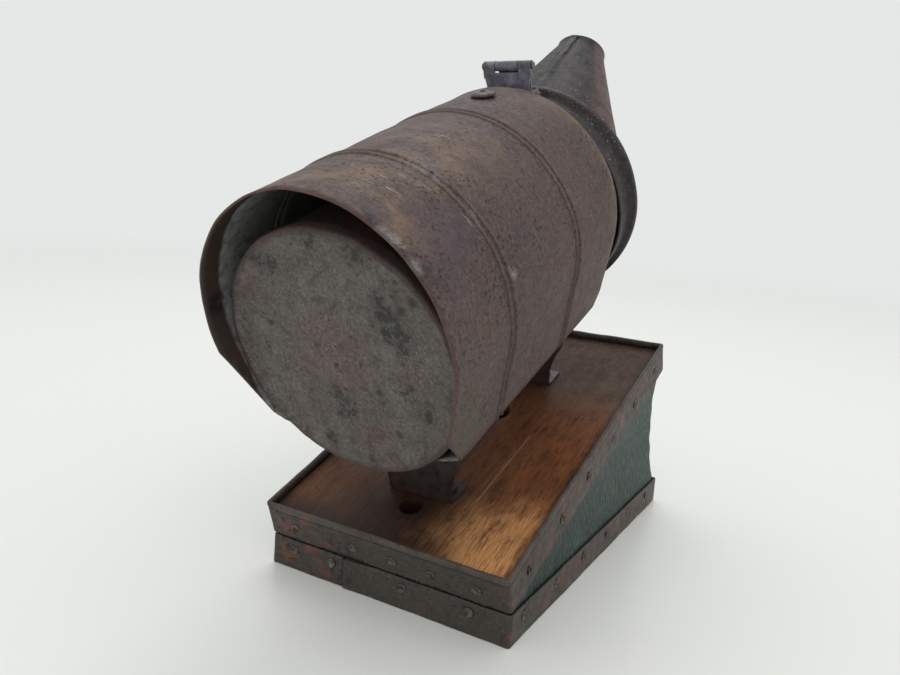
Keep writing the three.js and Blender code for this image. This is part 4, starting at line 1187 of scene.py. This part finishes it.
def makeCover():
    # A tube of leathercloth, pinned under both bands and drawn in between them
    path = perimeter(bands["width"] - 2 * cover["inset"], bands["length"] - 2 * cover["inset"],
                     cover["corner"], cover["step"])
    tall = (frontPlace(0, bands["length"], 0) - Vector((0, 0, hingeHeight))).z
    points = []
    tallest = 0.0
    rows = [0.0, 0.5] + steps(1.0, 2.0, cover["rows"]) + [2.5, 3.0]
    for x, y, _, _ in path:
        y += cover["inset"]
        foot = Vector((x, y, bands["lowerTop"] + 0.1))
        head = frontPlace(x, y, bands["upperLow"])
        gap = max(0.0, head.z - foot.z)
        share = min(1.0, gap / tall)
        inward = Vector((-2 * x / bands["width"], 1 - 2 * y / bands["length"], 0))
        column = []
        for row in rows:
            if row < 1:
                place = Vector((x, y, cover["low"])).lerp(foot, row)
            elif row > 2:
                place = head.lerp(frontPlace(x, y, cover["top"]), row - 2)
            else:
                t = row - 1
                place = foot.lerp(head, t)
                pull = math.sin(math.pi * t) ** 0.8
                bow = cover["bow"] * share * pull
                folds = rough((place.x * 0.35, place.y * 0.35, place.z), 9, 6)
                place += inward * (bow + cover["crease"] * folds * share * pull)
            column.append(place)
        tallest = max(tallest, sum((b - a).length for a, b in zip(column, column[1:])))
        points += column
    faces = gridFaces(len(path), len(rows), closeRows=True)
    piece = makePiece("leathercloth_cover", points, faces, backFrame, "back", ["leather"], 60)
    thick = piece.modifiers.new("cloth", "SOLIDIFY")
    thick.thickness = cover["thickness"] * mm
    thick.offset = -1.0
    fine = piece.modifiers.new("smooth cloth", "SUBSURF")
    fine.levels = 1
    fine.render_levels = 1
    bakeModifiers(piece)
    return piece


def bakeModifiers(piece):
    ready = piece.evaluated_get(bpy.context.evaluated_depsgraph_get())
    mesh = bpy.data.meshes.new_from_object(ready)
    piece.modifiers.clear()
    piece.data = mesh


spring = {
    "wire": 1.1,
    "y": 152.0,
    "baseRadius": 20.0,
    "topRadius": 11.0,
    "turns": 4.0,
    "board": 12.7,           # the back board's top
    "frontBoard": 0.8,       # the front board's underside over its frame
    "gap": 0.35,
    "flatEnd": 0.04,         # share of the wire that lies flat at each end
    "points": 260,
}


def makeSpring():
    # Conical wire coil with closed end turns
    path = []
    count = spring["points"]
    for i in range(count + 1):
        t = i / count
        angle = 2 * math.pi * spring["turns"] * t
        radius = spring["baseRadius"] + (spring["topRadius"] - spring["baseRadius"]) * t
        x = radius * math.cos(angle)
        y = spring["y"] + radius * math.sin(angle)
        low = spring["board"] + spring["gap"] + spring["wire"]
        slope = math.radians(places["openAngle"])
        board = hingeHeight + y * math.tan(slope) + spring["frontBoard"] / math.cos(slope)
        high = board - spring["gap"] - spring["wire"] / math.cos(slope)
        climb = min(1, max(0, (t - spring["flatEnd"]) / (1 - 2 * spring["flatEnd"])))
        climb = climb * climb * (3 - 2 * climb)
        path.append(Vector((x, y, low + (high - low) * climb)))
    sides = 10
    points = []
    for i, place in enumerate(path):
        ahead = path[min(i + 1, count)] - path[max(i - 1, 0)]
        side = ahead.cross(Vector((0, 0, 1))).normalized()
        up = side.cross(ahead).normalized()
        for j in range(sides):
            angle = 2 * math.pi * j / sides
            points.append(place + (side * math.cos(angle) + up * math.sin(angle)) * spring["wire"])
    faces = gridFaces(len(path), sides, closeColumns=True)
    faces.append(tuple(range(sides)))
    faces.append(tuple(range(len(points) - sides, len(points)))[::-1])
    piece = makePiece("coil_spring", points, faces, backFrame, "back", ["springSteel"], 60)
    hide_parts("bellows_spring")
    return piece


flap = {"thickness": 1.0, "curl": 0.25, "rows": 15}


def makeFlapPiece(name, node, body, curl):
    inner = frontFrame.inverted()
    vertices = [inner @ v.co for v in frame["nodes"][node].data.vertices]
    halfX = max(c.x for c in vertices)
    v0, v1 = min(c.y for c in vertices), max(c.y for c in vertices)
    w0, w1 = min(c.z for c in vertices), max(c.z for c in vertices)
    along, across = steps(v0 + 0.1, v1, flap["rows"]), steps(-halfX + 0.1, halfX - 0.1, flap["rows"])
    points = []
    for v in along:
        for x in across:
            droop = curl * ((v - v0) / (v1 - v0)) ** 2 + 0.08 * rough((x, v, 0), 7)
            points.append((x, v, w1 - 0.12 - droop))
    faces = gridFaces(flap["rows"], flap["rows"])
    piece = makePiece(name, points, faces, frontFrame, body, ["flapLeather"], 60)
    thick = piece.modifiers.new("leather", "SOLIDIFY")
    thick.thickness = min(flap["thickness"], w1 - w0 - 0.1) * mm
    thick.offset = 1.0 if piece.data.polygons[0].normal.z < 0 else -1.0
    bakeModifiers(piece)
    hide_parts(node)
    return piece, (halfX * 2 * mm, (v1 - v0) * mm)


coverPiece = makeCover()
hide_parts("bellows_cover")
springPiece = makeSpring()
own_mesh(coverPiece)
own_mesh(springPiece)
flapPiece, flapFlat = makeFlapPiece("leather_intake_flap", "intake_flap", "flap", flap["curl"])
stripPiece, _ = makeFlapPiece("leather_flap_strip", "flap_strip", "front", 0.0)
print("cover, spring and flap made")


# Floor and lights

studio = {
    "floor": srgb(238, 239, 235, 1.0),
    "floorSize": 4.0,        # metres
    "floorFade": (0.7, 2.2), # metres from the smoker
    "skyLow": srgb(229, 232, 230, 1.0),
    "skyHigh": 0.8,
    "lamps": [
        # position, size, watts
        ((-0.3, 0.5, 1.4), 0.9, 4.0),
        ((0.6, -0.9, 1.2), 1.0, 3.5),
    ],
}


def makeStage():
    size = studio["floorSize"]
    mesh = bpy.data.meshes.new("floor")
    corners = [(-size, -size, 0), (size, -size, 0), (size, size, 0), (-size, size, 0)]
    mesh.from_pydata(corners, [], [(0, 1, 2, 3)])
    floor = bpy.data.objects.new("floor", mesh)
    scene.collection.objects.link(floor)
    p = paintMaker("pale floor")
    p.shader.inputs["Base Color"].default_value = studio["floor"]
    p.shader.inputs["Roughness"].default_value = 0.3
    p.shader.inputs["Specular IOR Level"].default_value = 0.35
    # far from the smoker the floor turns into the backdrop's own colour
    glow = p.node("ShaderNodeEmission")
    glow.inputs["Color"].default_value = studio["skyLow"]
    blend = p.node("ShaderNodeMixShader")
    away = p.node("ShaderNodeVectorMath", operation="LENGTH")
    p.feed(away.inputs[0], p.place)
    start, end = (metres / mm for metres in studio["floorFade"])
    p.feed(blend.inputs[0], p.band(away.outputs["Value"], start, end))
    p.tree.links.new(p.shader.outputs["BSDF"], blend.inputs[1])
    p.tree.links.new(glow.outputs["Emission"], blend.inputs[2])
    p.tree.links.new(blend.outputs["Shader"], p.output.inputs["Surface"])
    mesh.materials.append(p.material)


def makeSky():
    world = bpy.data.worlds.new("studio")
    scene.world = world
    world.use_nodes = True
    tree = world.node_tree
    background = tree.nodes["Background"]
    place = tree.nodes.new("ShaderNodeTexCoord")
    split = tree.nodes.new("ShaderNodeSeparateXYZ")
    ramp = tree.nodes.new("ShaderNodeValToRGB")
    tree.links.new(place.outputs["Generated"], split.inputs[0])
    tree.links.new(split.outputs["Z"], ramp.inputs["Fac"])
    tree.links.new(ramp.outputs["Color"], background.inputs["Color"])
    high = studio["skyHigh"]
    ramp.color_ramp.elements[0].position = 0.25
    ramp.color_ramp.elements[0].color = studio["skyLow"]
    ramp.color_ramp.elements[1].position = 0.9
    ramp.color_ramp.elements[1].color = (high, high, high, 1.0)


def makeLamps():
    for index, (place, size, watts) in enumerate(studio["lamps"]):
        data = bpy.data.lights.new(f"soft lamp {index + 1}", "AREA")
        data.shape = "DISK"
        data.size = size
        data.energy = watts
        lamp = bpy.data.objects.new(data.name, data)
        scene.collection.objects.link(lamp)
        towards = Vector((0, 0, 0.1)) - Vector(place)
        lamp.matrix_world = Matrix.Translation(place) @ towards.to_track_quat("-Z", "Y").to_matrix().to_4x4()


makeStage()
makeSky()
makeLamps()
scene.view_settings.view_transform = "Standard"
print("stage and lights made")
